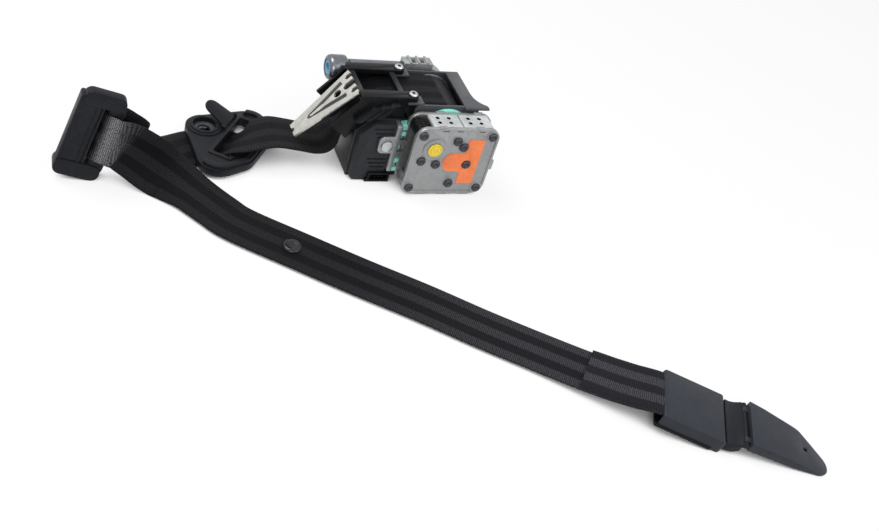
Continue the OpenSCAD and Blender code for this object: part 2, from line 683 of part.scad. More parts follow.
module lock_pawl() color("#85888e") at_retractor() difference() {
    union() {
        rod(5.2, ratchet_y[0], ratchet_y[1], pawl_at);
        prism(ratchet_y[0], ratchet_y[1])
            polygon([pawl_at, pawl_at + [0, -5], [13.5, -21.6], [14.6, -18.6], pawl_at + [-4, 3]]);
    }
    rod(3 + run_gap, ratchet_y[0] - 1, ratchet_y[1] + 1, pawl_at);
}

sensor_low = [0, cheek_out + seat_gap, floor_z];
sensor_high = [36, cheek_out + 23, floor_z + 24.5];
ball_r = 5;
ball_at = [13, cheek_out + 12, floor_z + 9.5];
lever_pin = [30, floor_z + 17];

module sensor_housing() color("#2c2d31") at_retractor() difference() {
    union() {
        difference() {
            block(sensor_low, sensor_high);
            block(sensor_low + [2, 2, 3], sensor_high + [-2, -2, 1]);
        }
        translate([ball_at[0], ball_at[1], floor_z]) cylinder(r = 8, h = 5.5);
        rod(1.5, sensor_low[1], sensor_high[1], lever_pin);
    }
    translate(ball_at) sphere(ball_r + 0.1);
}

module sensor_ball() color("#c6c9cc") at_retractor() translate(ball_at) sphere(ball_r);

module sensor_lever() color("#e3ddcf") at_retractor() difference() {
    union() {
        rod(3.2, sensor_low[1] + 4, sensor_high[1] - 4, lever_pin);
        block([8, ball_at[1] - 4, floor_z + 15.2], [lever_pin[0], ball_at[1] + 4, floor_z + 17]);
        block([8, ball_at[1] - 4, floor_z + 15.2], [9.6, ball_at[1] + 4, floor_z + 21]);
    }
    rod(1.5 + run_gap, sensor_low[1], sensor_high[1], lever_pin);
}

// Points on the tongue and the anchor, in the shared frame

tongue_x = [cos(tongue_lean) * cos(tongue_yaw), cos(tongue_lean) * sin(tongue_yaw), -sin(tongue_lean)];
tongue_n = [-sin(tongue_yaw), cos(tongue_yaw), 0];
tongue_up = [sin(tongue_lean) * cos(tongue_yaw), sin(tongue_lean) * sin(tongue_yaw), cos(tongue_lean)];
anchor_u = [cos(anchor_pitch) * cos(anchor_yaw), cos(anchor_pitch) * sin(anchor_yaw), -sin(anchor_pitch)];
anchor_v = [-sin(anchor_yaw), cos(anchor_yaw), 0];
anchor_w = [sin(anchor_pitch) * cos(anchor_yaw), sin(anchor_pitch) * sin(anchor_yaw), cos(anchor_pitch)];
function on_tongue(a, n) = tongue_at + a * tongue_x + n * tongue_n + (tongue_h / 2 + 1) * tongue_up;
function on_anchor(u, w) = anchor_at + u * anchor_u + w * anchor_w;
wrap_n = tongue_t / 2 + webbing_t / 2 + free_gap;
wrap_a = 4.6 - webbing_t / 2 - free_gap;
plate_low = 5;
plate_high = 9;
bar_rod_r = 2.5;
bar_at = [15, plate_low + anchor_steel / 2];
wrap_w = bar_rod_r + webbing_t / 2 + free_gap;
function bar_turn(a) = on_anchor(bar_at[0] + wrap_w * cos(a), bar_at[1] + wrap_w * sin(a));

// Free webbing: centre line and the direction of its far or upper edge, laid out by hand

route = [
    [[62, 180, axis_h + roll_r + free_gap + webbing_t / 2], [0, 1, 0]],
    [[42, 180, 78], [0, 1, 0]],
    [[20, 180, 77], [0, 1, 0]],
    [[0, 180, 73.5], [0, 1, 0]],
    [[-18, 180, 66], [0, 1, 0]],
    [[-30, 180, 54], [0, 1, 0]],
    [[-34, 180, 42], [0, 1, 0]],
    [[-35.5, 180, 31], [0, 1, 0]],
    [[-41, 180, 23], [0, 1, 0]],
    [[-52, 180, 20.5], [0, 1, 0]],
    [[-70, 180.5, 23.5], [0.02, 1, 0]],
    [[-87, 180.5, 26], [0.03, 1, 0]],
    [[-99, 180.2, 24.3], [0.1, 0.99, 0]],
    [[-108.5, 180.6, 20.2], [0.25, 0.97, 0]],
    [[-117.6, 183.6, 13], [0.53, 0.85, 0]],
    [[-121.3, 186.2, 8.2], [0.574, 0.819, 0]],
    [[-125.4, 189.1, 3.1], [0.574, 0.819, 0]],
    [[-130.3, 192.5, 2], [0.5, 0.86, 0]],
    [[-141, 192.5, 2], [-0.1, 0.99, 0]],
    [[-156, 188, 2], [-0.28, 0.96, 0]],
    [[-172, 180.5, 2.4], [-0.5, 0.86, 0.03]],
    [[-187, 170, 7], [-0.45, 0.84, 0.16]],
    [[-200, 160, 14.5], [-0.25, 0.8, 0.55]],
    [[-214, 157, 26], [0.25, 0.5, 0.83]],
    [on_tongue(20, wrap_n + 6), tongue_up],
    [on_tongue(13, wrap_n + 1.2), tongue_up],
    [on_tongue(9.6, wrap_n), tongue_up],
    [on_tongue(5.4, 4.2), tongue_up],
    [on_tongue(wrap_a, 0), tongue_up],
    [on_tongue(5.4, -4.2), tongue_up],
    [on_tongue(9.6, -wrap_n), tongue_up],
    [on_tongue(13, -wrap_n - 0.8), tongue_up],
    [on_tongue(20, -wrap_n - 3), tongue_up],
    [[-224, 138, 38.5], [0.45, 0.05, 0.88]],
    [[-211, 138, 29], [0.57, 0.2, 0.8]],
    [[-199, 137, 19.5], [0.65, 0.43, 0.6]],
    [[-187, 134.5, 11.5], [0.72, 0.6, 0.33]],
    [[-170, 122, 4.6], [0.79, 0.61, 0.05]],
    [[-152, 99, 3.2], [0.815, 0.58, 0]],
    [[-136, 79.5, 3.2], [0.68, 0.73, 0]],
    [[-92, 45, 3.2], [0.6, 0.8, 0]],
    [[-48, 11, 3.2], [0.6, 0.8, 0]],
    [[-3, -22, 3.2], [0.6, 0.8, 0]],
    [[40, -56, 3.2], [0.6, 0.8, 0]],
    [[82, -88, 4], [0.58, 0.81, 0]],
    [[114, -116, 8], [0.55, 0.83, 0]],
    [[138, -138, 14.5], [0.5, 0.86, 0]],
    [on_anchor(-4, 9.9), anchor_v],
    [on_anchor(7, bar_at[1] + wrap_w), anchor_v],
    [bar_turn(90), anchor_v],
    [bar_turn(45), anchor_v],
    [bar_turn(0), anchor_v],
    [bar_turn(-45), anchor_v],
    [bar_turn(-90), anchor_v],
    [on_anchor(10, bar_at[1] - wrap_w), anchor_v],
    [on_anchor(4, bar_at[1] - wrap_w), anchor_v]];

function unit(v) = v / norm(v);
function pick(i, k) = route[max(0, min(len(route) - 1, i))][k];
function curve(i, t, k) = let (a = pick(i - 1, k), b = pick(i, k), c = pick(i + 1, k), d = pick(i + 2, k))
    b + (c - a) * t / 2 + (2 * a - 5 * b + 4 * c - d) * t * t / 2 + (3 * b - a - 3 * c + d) * t * t * t / 2;
function along(s, k) = let (i = min(floor(s), len(route) - 2)) curve(i, s - i, k);

module webbing() color("#2f3034") translate(-middle) {
    per = 2;
    n = (len(route) - 1) * per;
    rings = [for (j = [0:n])
        let (s = j / per, c = along(s, 0),
            t = unit(along(min(s + 0.05, len(route) - 1), 0) - along(max(s - 0.05, 0), 0)),
            w0 = along(s, 1), w = unit(w0 - (w0 * t) * t), u = cross(t, w))
        for (q = [[-1, -1], [1, -1], [1, 1], [-1, 1]])
            c + w * q[0] * webbing_w / 2 + u * q[1] * webbing_t / 2];
    polyhedron(rings, concat([[0, 1, 2, 3], [for (i = [3:-1:0]) n * 4 + i]],
        [for (j = [0:n - 1], i = [0:3]) [j * 4 + i, j * 4 + 4 + i, j * 4 + 4 + (i + 1) % 4, j * 4 + (i + 1) % 4]]));
}

module stop_button() color("#1b1c1e") translate(button_at - middle) {
    translate([0, 0, 4.4]) rotate_extrude() polygon([[0, 0], [8.3, 0], [8.3, 0.8], [7, 2], [4, 2.4], [0, 2.4]]);
    cylinder(r = 8, h = 2);
    cylinder(r = 2.5, h = 5);
}

// Tongue, standing on its lower edge

slot_low = [0.8, 15.5];
slot_high = [4.6, tongue_h - 13.5];
nose_a = slot_high[0] + tongue_t / 2;
slot_cut = [nose_a, slot_high[1]];

module tongue_plate() color("#b5b7ba") at_tongue() prism(-tongue_steel / 2, tongue_steel / 2) difference() {
    union() {
        rounded([-14, 6], [tongue_w / 2 - 4, tongue_h - 6], 7);
        rounded([0, tongue_h / 2 - blade_w / 2], [tongue_w / 2 + blade_len, tongue_h / 2 + blade_w / 2], 5);
    }
    rounded(slot_low - [1.5, 1.5], slot_high + [1.5, 1.5], 3);
    rounded([tongue_w / 2 + blade_len - 24, tongue_h / 2 - 6], [tongue_w / 2 + blade_len - 10, tongue_h / 2 + 6], 1.5);
}

module tongue_grip() color("#2b2c30") at_tongue() difference() {
    union() {
        difference() {
            union() {
                prism(-tongue_t / 2, tongue_t / 2) {
                    rounded([-tongue_w / 2, 7], [10, tongue_h - 6], 2);
                    rounded([-6, 2], [tongue_w / 2, tongue_h - 2], 12);
                }
                prism(-tongue_t / 2 - 1.5, tongue_t / 2 + 1.5) rounded([-tongue_w / 2 - 1, 0], [tongue_w / 2 - 1, 15], 7);
                prism(-tongue_t / 2 - 1.5, 2) rounded([-tongue_w / 2 + 2.5, tongue_h - 13], [tongue_w / 2 - 2, tongue_h], 6);
                prism(-tongue_t / 2 - 1, 0) rounded([-4, 12], [-2.6, tongue_h - 10], 0.5);
            }
            prism(-tongue_t, tongue_t) rounded(slot_low, slot_cut, 1.5);
        }
        translate([nose_a, 0, slot_low[1] - 1]) cylinder(r = tongue_t / 2, h = slot_high[1] - slot_low[1] + 2);
    }
    prism(-tongue_steel / 2 - seat_gap, tongue_steel / 2 + seat_gap) difference() {
        union() {
            rounded([-14.05, 5.95], [tongue_w / 2 - 3.95, tongue_h - 5.95], 7);
            translate([0, tongue_h / 2 - blade_w / 2 - seat_gap]) square([tongue_w, blade_w + 2 * seat_gap]);
        }
        rounded(slot_low - [1.45, 1.45], slot_high + [1.45, 1.45], 3);
    }
}

// Pillar loop, lying flat on the webbing

slot_u = [22, 38];

module loop_outline(inset) hull() {
    circle(eye_ring_r - inset, $fn = 32);
    for (v = [-loop_slot / 2 - 6, loop_slot / 2 - 1]) translate([30, v]) circle(loop_end_r - inset, $fn = 32);
    for (v = [11 - loop_slot / 2, loop_slot / 2 - 16]) translate([38, v]) circle(loop_end_r + 2 - inset, $fn = 32);
}
module loop_slot_shape(grow) rounded([slot_u[0] - grow, -loop_slot / 2 - grow],
    [slot_u[1] + grow, loop_slot / 2 + grow], 3);

flap_hinge = [eye_ring_r - 0.5, 17, loop_t + 2.8];
flap_rise = 25;

module loop_plate() color("#a9acb0") at_loop() translate([0, 0, 2]) difference() {
    linear_extrude(loop_steel) difference() {
        loop_outline(4);
        loop_slot_shape(2);
    }
    translate([0, 0, -1]) cylinder(r = eye_hole_r, h = loop_steel + 2);
}

module loop_cover() color("#26272b") at_loop() difference() {
    union() {
        linear_extrude(loop_t) loop_outline(0);
        translate([0, 0, loop_t - 0.5]) difference() {
            linear_extrude(3.5) loop_outline(1.5);
            translate([0, 0, -1]) linear_extrude(6) loop_outline(6.5);
            block([-30, -70, -1], [22, 70, 6]);
        }
        translate([0, 0, loop_t - 0.5]) linear_extrude(2) loop_slot_shape(3.5);
        translate([0, 0, loop_t - 0.5]) cylinder(r = eye_ring_r - 1.5, h = 2);
        translate([0, 0, loop_t - 0.5]) cylinder(r = eye_ring_r - 4, h = 3.2);
        for (a = [-60:15:60]) translate([30, 0, loop_t - 0.5]) rotate([0, 0, a]) translate([13, -0.8, 0])
            cube([11, 1.6, 2.4]);
        for (y = [-13.6, 11.2]) block([flap_hinge[0] - 2, flap_hinge[1] + y, loop_t - 0.5],
            [flap_hinge[0] + 2, flap_hinge[1] + y + 2.4, flap_hinge[2] + 2]);
    }
    translate([0, 0, -1]) linear_extrude(loop_t + 8) loop_slot_shape(0);
    translate([0, 0, -1]) cylinder(r = 10.5, h = loop_t + 8);
    translate([0, 0, 2 - seat_gap]) linear_extrude(loop_steel + 2 * seat_gap) difference() {
        loop_outline(4 - seat_gap);
        loop_slot_shape(2 - seat_gap);
    }
    translate(flap_hinge) rotate([90, 0, 0]) translate([0, 0, -20]) cylinder(r = 0.9 + run_gap, h = 40);
}

module loop_flap() color("#2d2e33") at_loop() translate(flap_hinge) rotate([0, flap_rise, 0]) {
    rotate([90, 0, 0]) translate([0, 0, -11]) cylinder(r = 1.4, h = 22);
    rotate([90, 0, 0]) translate([0, 0, -13.4]) cylinder(r = 0.9, h = 26.8);
    translate([0, 0, -0.6]) linear_extrude(2) hull() {
        translate([-2, -11]) square([2, 22]);
        translate([-18, 0]) circle(8.5, $fn = 32);
    }
}

// End anchor with its sleeve, neck and hinged cap

cap_edge = sleeve_len + 18.5;
cap_end = cap_edge + cap_len;
cap_hinge = [cap_edge - 2.5, 15.5];
cap_top = 21;
cap_rim = 12.2;
bolt_u = cap_edge + 22;
neck_end = cap_edge - 5.4;

module anchor_side(y0, y1) translate([0, y1, 0]) rotate([90, 0, 0]) linear_extrude(y1 - y0) children();
module plate_step(g) polygon([[sleeve_len - 2, plate_low - g], [sleeve_len + 4, plate_low - g],
    [sleeve_len + 14, plate_high - g], [cap_edge + 4, plate_high - g], [cap_edge + 4, plate_high + anchor_steel + g],
    [sleeve_len + 13, plate_high + anchor_steel + g], [sleeve_len + 3, plate_low + anchor_steel + g],
    [sleeve_len - 2, plate_low + anchor_steel + g]]);

module anchor_plate() color("#9c9fa3") at_anchor() difference() {
    union() {
        anchor_side(-25, 25) translate(bar_at) circle(bar_rod_r);
        block([bar_at[0], -25, plate_low], [35, 25, plate_low + anchor_steel]);
        translate([0, 0, plate_low]) linear_extrude(anchor_steel)
            polygon([[34, -25], [34, 25], [sleeve_len - 8, 14], [sleeve_len, 14], [sleeve_len, -14], [sleeve_len - 8, -14]]);
        anchor_side(-14, 14) plate_step(0);
        block([cap_edge + 3, -14, plate_high], [bolt_u, 14, plate_high + anchor_steel]);
        translate([bolt_u, 0, plate_high]) cylinder(r = 14, h = anchor_steel);
    }
    difference() {
        block([bar_at[0], -23.6, 0], [bar_at[0] + 12, 23.6, 20]);
        anchor_side(-24, 24) translate(bar_at) circle(bar_rod_r);
    }
    translate([bolt_u, 0, 0]) cylinder(r = anchor_hole_r, h = 20);
}

module anchor_sleeve() color("#2e2f34") at_anchor() difference() {
    union() {
        intersection() {
            linear_extrude(sleeve_h) rounded([0, -sleeve_w / 2], [sleeve_len, sleeve_w / 2], 3);
            anchor_side(-sleeve_w / 2, sleeve_w / 2) rounded([0, 0], [sleeve_len, sleeve_h], 3.5);
        }
        linear_extrude(2.4) rounded([-2.5, -sleeve_w / 2 - 1.2], [sleeve_len - 8, sleeve_w / 2 + 1.2], 2);
    }
    block([-4, -25.4, 1.8], [33, 25.4, sleeve_h - 1.8]);
    block([31, -25 - seat_gap, plate_low - seat_gap], [sleeve_len + 1, 25 + seat_gap, plate_low + anchor_steel + seat_gap]);
}

module anchor_neck() color("#222327") at_anchor() difference() {
    union() {
        anchor_side(-cap_w / 2, cap_w / 2) polygon([[sleeve_len, 3], [sleeve_len, sleeve_h - 0.6], [sleeve_len + 4, sleeve_h - 0.8],
            [sleeve_len + 8, sleeve_h + 0.4], [neck_end - 1.5, sleeve_h + 2.6], [neck_end, sleeve_h + 3.8],
            [neck_end, plate_high - 1], [sleeve_len + 9, plate_low - 0.6], [sleeve_len + 5, 3]]);
        for (y = [[-14, 14], [-cap_w / 2, -20], [20, cap_w / 2]]) {
            block([neck_end - 1, y[0], plate_high + 4], [cap_hinge[0], y[1], cap_hinge[1] + 0.8]);
            anchor_side(y[0], y[1]) translate(cap_hinge) circle(2.2);
        }
        anchor_side(-cap_w / 2, cap_w / 2) translate(cap_hinge) circle(1.3);
    }
    anchor_side(-14 - seat_gap, 14 + seat_gap) plate_step(seat_gap);
}

module cap_outline(inset) hull() {
    translate([cap_edge + inset, -cap_w / 2 + inset]) square([2, cap_w - 2 * inset]);
    translate([cap_end - 11, -8]) circle(11 - inset, $fn = 32);
    translate([cap_end - 31, 8]) circle(11 - inset, $fn = 32);
}
module cap_side(inset) polygon([[cap_edge - 6, cap_rim - inset * 6], [cap_edge - 6, cap_top - inset], [cap_edge + 14, cap_top - inset],
    [cap_edge + cap_len * 0.53, cap_top - 1.5 - inset], [cap_edge + cap_len * 0.8, cap_top - 3.5 - inset],
    [cap_end + 1, cap_top - 5.4 - inset], [cap_end + 1, cap_rim + 2.7 - inset * 6], [cap_edge + cap_len * 0.6, cap_rim - inset * 6]]);

module anchor_cap() color("#34353b") at_anchor() difference() {
    union() {
        difference() {
            intersection() {
                linear_extrude(30) cap_outline(0);
                anchor_side(-40, 40) cap_side(0);
            }
            intersection() {
                linear_extrude(30) cap_outline(2);
                anchor_side(-40, 40) cap_side(2);
            }
            block([cap_edge - 6, -20.5, 0], [cap_edge + 4, 20.5, cap_hinge[1]]);
        }
        for (y = [-19.6, 14.4]) anchor_side(y, y + 5.2) {
            translate(cap_hinge) circle(2.4);
            translate(cap_hinge + [0, -1]) square([4, 3.4]);
        }
    }
    anchor_side(-40, 40) translate(cap_hinge) circle(1.3 + run_gap);
    block([cap_edge + cap_len * 0.71 - 1.8, -1.8, 0], [cap_edge + cap_len * 0.71 + 1.8, 1.8, 30]);
}

frame();
shaft_bushes();
spool();
webbing_roll();
torsion_bar();
clutch_hub();
lock_ratchet();
spring_arbor();
clutch_housing();
gear_back_plate();
gear_front_plate();
corner_rivets();
axle_heads();
idler_axle();
bearing_cap();
blank_label();
spacer_blocks();
ribbed_grommet();
drive_wheel();
idler_gear();
motor_can();
motor_shaft();
motor_pinion();
control_case();
control_cover();
connector_shroud();
connector_pins();
box_bracket();
knurled_pin();
belt_guide();
guide_screws();
mounting_leg();
generator_tube();
generator_cap();
igniter_socket();
rear_casting();
spring_cover();
mainspring();
lock_pawl();
pawl_pin();
sensor_housing();
sensor_lever();
sensor_ball();
webbing();
stop_button();
tongue_plate();
tongue_grip();
loop_plate();
loop_cover();
loop_flap();
anchor_plate();
anchor_sleeve();
anchor_neck();
anchor_cap();
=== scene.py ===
"""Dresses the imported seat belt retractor: woven belt, mouldings, metals, stage and camera."""

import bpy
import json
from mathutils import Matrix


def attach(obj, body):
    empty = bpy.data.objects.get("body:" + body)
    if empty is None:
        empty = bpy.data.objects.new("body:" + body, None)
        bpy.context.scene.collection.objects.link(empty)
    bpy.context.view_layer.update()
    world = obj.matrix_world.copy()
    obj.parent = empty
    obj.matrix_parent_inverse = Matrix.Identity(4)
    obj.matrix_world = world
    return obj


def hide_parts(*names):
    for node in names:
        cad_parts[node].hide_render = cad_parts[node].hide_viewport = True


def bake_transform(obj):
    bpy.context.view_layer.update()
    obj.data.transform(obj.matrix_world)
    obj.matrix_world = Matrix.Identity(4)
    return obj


bl_info = {
    "name": "Seat Belt Retractor Dressing",
    "version": (1, 0, 0),
    "blender": (4, 5, 0),
    "location": "View3D > Sidebar > Retractor",
    "description": "Builds the belt, the finishes and the stage around the packed retractor",
    "category": "Object",
}

import json
import math

import bmesh
import bpy
from bpy.props import FloatProperty, FloatVectorProperty, IntProperty, PointerProperty
from bpy.types import Operator, Panel, PropertyGroup
from mathutils import Matrix, Vector

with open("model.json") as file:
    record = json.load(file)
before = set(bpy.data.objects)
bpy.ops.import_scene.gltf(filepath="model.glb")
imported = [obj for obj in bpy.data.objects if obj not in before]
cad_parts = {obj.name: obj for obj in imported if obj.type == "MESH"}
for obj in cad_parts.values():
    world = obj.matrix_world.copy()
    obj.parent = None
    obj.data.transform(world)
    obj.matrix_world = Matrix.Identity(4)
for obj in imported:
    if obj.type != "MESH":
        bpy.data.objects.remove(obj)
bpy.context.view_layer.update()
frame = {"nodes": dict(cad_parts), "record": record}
# Metres in a millimetre, and how close two points lie that are one
MM = 0.001
WELD = 2e-6


def ink(red, green, blue):
    """Linear colour from the 0 to 255 values that a picture shows."""
    tones = []
    for part in (red, green, blue):
        part /= 255.0
        tones.append(part / 12.92 if part <= 0.04045 else ((part + 0.055) / 1.055) ** 2.4)
    return tones[0], tones[1], tones[2], 1.0


def colour_prop(name, description, tone):
    return FloatVectorProperty(
        name=name, description=description, subtype="COLOR", size=4, min=0.0, max=1.0, default=tone
    )


def length_prop(name, description, metres):
    return FloatProperty(
        name=name, description=description, unit="LENGTH", subtype="DISTANCE", default=metres
    )


class BeltSettings(PropertyGroup):
    """Sizes and tones of the webbing"""

    width: length_prop("Width", "Width of the webbing", 0.047)
    thickness: length_prop("Thickness", "Thickness of the webbing", 0.0012)
    crown: length_prop("Crown", "Rise of the middle over the edges", 0.0003)
    steps: IntProperty(name="Steps", description="Rows between two route points", default=8, min=2, max=20)
    strands: IntProperty(name="Strands", description="Columns across the belt", default=12, min=4, max=40)
    yarn: colour_prop("Yarn", "Colour of the light bands", ink(40, 40, 44))
    shade: colour_prop("Shade", "Colour of the two darker bands", ink(14, 14, 17))
    # Crest colour: a painted highlight on the belt's bend past the tongue
    crest_highlight: colour_prop("Crest Highlight", "Colour where the tongue has rubbed", ink(156, 156, 161))


class MouldingSettings(PropertyGroup):
    """Tones of the moulded pieces"""

    black: colour_prop("Black", "Fittings on the belt", ink(25, 26, 30))
    anchor: colour_prop("Anchor", "Anchor sleeve and cap", ink(40, 43, 50))
    # A darker black that paints shade onto the anchor's neck
    neck: colour_prop("Neck", "Anchor neck", ink(24, 26, 31))
    box: colour_prop("Box", "Control box cover", ink(34, 35, 39))
    guide: colour_prop("Guide", "Belt guide and case", ink(14, 15, 17))
    mint: colour_prop("Mint", "Clutch housing", ink(132, 212, 198))
    yellow: colour_prop("Yellow", "Bearing cap", ink(223, 194, 56))
    blue: colour_prop("Blue", "Igniter socket", ink(88, 150, 182))
    orange: colour_prop("Orange", "Plain sticker", ink(231, 117, 63))
    pale: colour_prop("Pale", "Spacer blocks", ink(172, 175, 176))
    nylon: colour_prop("Nylon", "Bushes and levers", ink(228, 222, 206))


class MetalSettings(PropertyGroup):
    """Tones of the metal pieces"""

    plate: colour_prop("Plate", "Gear plates", ink(151, 152, 153))
    zinc: colour_prop("Zinc", "Mounting leg", ink(194, 192, 186))
    steel: colour_prop("Steel", "Bright inner parts", ink(188, 190, 194))
    dark: colour_prop("Dark", "Rivets and axle heads", ink(66, 67, 71))
    tube: colour_prop("Tube", "Gas generator", ink(111, 114, 120))
    cast: colour_prop("Cast", "Rear casting", ink(155, 157, 157))
    coat: colour_prop("Coat", "Black coated frame", ink(64, 65, 69))
    brass: colour_prop("Brass", "Gears and pins", ink(205, 172, 96))


class StageSettings(PropertyGroup):
    """Camera and floor"""

    eye: FloatVectorProperty(
        name="Eye",
        description="Camera place",
        subtype="TRANSLATION",
        default=(-0.36806, -0.60855, 0.60356),
    )
    aim: FloatVectorProperty(
        name="Aim",
        description="Point looked at",
        subtype="TRANSLATION",
        default=(0.02684, 0.02345, 0.00006),
    )
    roll: FloatProperty(
        name="Roll", description="Lean of the picture", subtype="ANGLE", default=math.radians(19.5)
    )
    lens: FloatProperty(name="Lens", description="Focal length in millimetres", default=45.05)
    floor: colour_prop("Floor", "Pale floor", (0.86, 0.86, 0.86, 1.0))


# Small steps that the shader trees are made of

# Places of the share and the two colours among a mix node's inputs, and of the colour it gives
MIX_INPUTS = (0, 6, 7)
MIX_OUTPUT = 2


def node(tree, kind, **values):
    made = tree.nodes.new(kind)
    for key, value in values.items():
        setattr(made, key, value)
    return made


def feed(tree, value, socket):
    """Links an output to a socket, or sets a plain value on it."""
    if hasattr(value, "is_linked"):
        tree.links.new(value, socket)
    else:
        socket.default_value = value


def maths(tree, operation, *operands):
    made = node(tree, "ShaderNodeMath", operation=operation)
    for value, socket in zip(operands, made.inputs):
        feed(tree, value, socket)
    return made.outputs[0]


def plus(tree, first, second):
    return maths(tree, "ADD", first, second)


def times(tree, first, second):
    return maths(tree, "MULTIPLY", first, second)


def mix_colour(tree, share, first, second):
    made = node(tree, "ShaderNodeMix", data_type="RGBA")
    for place, value in zip(MIX_INPUTS, (share, first, second)):
        feed(tree, value, made.inputs[place])
    return made.outputs[MIX_OUTPUT]


def ramp(tree, value, low, high):
    """Smooth step of a value from one mark to another."""
    made = node(tree, "ShaderNodeMapRange", interpolation_type="SMOOTHSTEP")
    made.inputs["From Min"].default_value = low
    made.inputs["From Max"].default_value = high
    tree.links.new(value, made.inputs["Value"])
    return made.outputs[0]


def noise(tree, vector, scale, detail, rough):
    made = node(tree, "ShaderNodeTexNoise")
    made.inputs["Scale"].default_value = scale
    made.inputs["Detail"].default_value = detail
    made.inputs["Roughness"].default_value = rough
    tree.links.new(vector, made.inputs["Vector"])
    return made.outputs[0]


def cells(tree, vector, scale, feature):
    made = node(tree, "ShaderNodeTexVoronoi", feature=feature)
    tree.links.new(vector, made.inputs["Vector"])
    tree.links.new(scale, made.inputs["Scale"])
    return made.outputs


def stretched(tree, vector, scale):
    made = node(tree, "ShaderNodeMapping")
    made.inputs["Scale"].default_value = scale
    tree.links.new(vector, made.inputs["Vector"])
    return made.outputs[0]


def map_parts(tree, vector):
    """The parts across and along of a place on the belt's map."""
    parts = node(tree, "ShaderNodeSeparateXYZ")
    tree.links.new(vector, parts.inputs[0])
    return parts.outputs[0], parts.outputs[1]


# Node groups for effects that several finishes share

# The weave: bands and yarns across the belt, ribs in one width along it, and the ribs they slant by
BELT_BANDS = 5.0
YARNS_ACROSS = 44.0
RIBS_ALONG = 30.0
RIB_SLANT = 2.0


def group_with(name, values, results):
    """A node group that takes a place and some values: its tree, and the sockets at its two ends."""
    tree = bpy.data.node_groups.new(name, "ShaderNodeTree")
    tree.interface.new_socket("Vector", in_out="INPUT", socket_type="NodeSocketVector")
    for label in values:
        tree.interface.new_socket(label, in_out="INPUT", socket_type="NodeSocketFloat")
    for label in results:
        tree.interface.new_socket(label, in_out="OUTPUT", socket_type="NodeSocketFloat")
    return tree, tree.nodes.new("NodeGroupInput").outputs, tree.nodes.new("NodeGroupOutput").inputs


def moulded_grain():
    """Fine spark-eroded texture of a moulding tool"""
    tree, enter, leave = group_with("Moulded Grain", ("Size",), ("Height", "Tone"))
    place = enter["Vector"]
    grain = times(tree, cells(tree, place, enter["Size"], "SMOOTH_F1")["Distance"], 0.7)
    fine = noise(tree, place, scale=2400.0, detail=3.0, rough=0.6)
    cloud = noise(tree, place, scale=38.0, detail=4.0, rough=0.6)
    tree.links.new(plus(tree, grain, fine), leave["Height"])
    tree.links.new(ramp(tree, cloud, 0.3, 0.7), leave["Tone"])
    return tree


def handling_marks():
    """Faint wipes and scuffs from handling"""
    tree, enter, leave = group_with("Handling Marks", ("Turn",), ("Wipe", "Scratch"))
    place = enter["Vector"]
    turn = node(tree, "ShaderNodeVectorRotate", rotation_type="Z_AXIS")
    tree.links.new(place, turn.inputs["Vector"])
    tree.links.new(enter["Turn"], turn.inputs["Angle"])
    drawn = stretched(tree, turn.outputs[0], (14.0, 420.0, 420.0))
    lines = ramp(tree, noise(tree, drawn, scale=1.0, detail=2.0, rough=0.5), 0.66, 0.76)
    patch = ramp(tree, noise(tree, place, scale=30.0, detail=2.0, rough=0.5), 0.5, 0.68)
    wipe = ramp(tree, noise(tree, place, scale=22.0, detail=5.0, rough=0.62), 0.34, 0.7)
    tree.links.new(times(tree, lines, patch), leave["Scratch"])
    tree.links.new(wipe, leave["Wipe"])
    return tree


def edge_rub():
    """Brighter rubbed line along convex edges, broken up by noise"""
    tree, enter, leave = group_with("Edge Rub", ("Amount",), ("Mask",))
    surface = node(tree, "ShaderNodeNewGeometry").outputs
    ridge = ramp(tree, surface["Pointiness"], 0.515, 0.58)
    broken = ramp(tree, noise(tree, enter["Vector"], scale=260.0, detail=3.0, rough=0.6), 0.36, 0.62)
    tree.links.new(times(tree, times(tree, ridge, broken), enter["Amount"]), leave["Mask"])
    return tree


def drawn_metal():
    """Rolling lines and cloudy plating of sheet metal"""
    tree, enter, leave = group_with("Drawn Metal", ("Spangle",), ("Tone", "Height", "Pit"))
    place = enter["Vector"]
    drawn = stretched(tree, place, (60.0, 900.0, 900.0))
    lines = noise(tree, drawn, scale=1.0, detail=3.0, rough=0.6)
    flake = times(tree, cells(tree, place, enter["Spangle"], "F1")["Color"], 0.5)
    cloud = times(tree, noise(tree, place, scale=55.0, detail=4.0, rough=0.65), 0.7)
    pit = ramp(tree, noise(tree, place, scale=420.0, detail=3.0, rough=0.7), 0.64, 0.74)
    tree.links.new(plus(tree, cloud, flake), leave["Tone"])
    tree.links.new(lines, leave["Height"])
    tree.links.new(pit, leave["Pit"])
    return tree


def belt_weave():
    """Ribbed belt weave on the belt's own map: across 0 to 1, along in belt widths"""
    tree, enter, leave = group_with("Belt Weave", ("Shift",), ("Height", "Band", "Fleck"))
    across, along = map_parts(tree, enter["Vector"])
    banding = times(tree, plus(tree, across, enter["Shift"]), BELT_BANDS * math.pi)
    band = maths(tree, "COSINE", banding)
    raised = ramp(tree, plus(tree, times(tree, band, -0.5), 0.5), 0.38, 0.62)
    phase = plus(tree, times(tree, along, RIBS_ALONG), times(tree, across, RIB_SLANT))
    rib = maths(tree, "SINE", times(tree, phase, 2.0 * math.pi))
    yarns = maths(tree, "SINE", times(tree, across, 2.0 * math.pi * YARNS_ACROSS))
    weave = plus(tree, times(tree, rib, 0.6), times(tree, yarns, 0.4))
    fibres = stretched(tree, enter["Vector"], (60.0, 30.0, 1.0))
    fuzz = noise(tree, fibres, scale=1.0, detail=2.0, rough=0.6)
    tree.links.new(plus(tree, weave, times(tree, raised, -0.4)), leave["Height"])
    tree.links.new(raised, leave["Band"])
    tree.links.new(plus(tree, times(tree, rib, 0.16), fuzz), leave["Fleck"])
    return tree


EFFECTS = {}


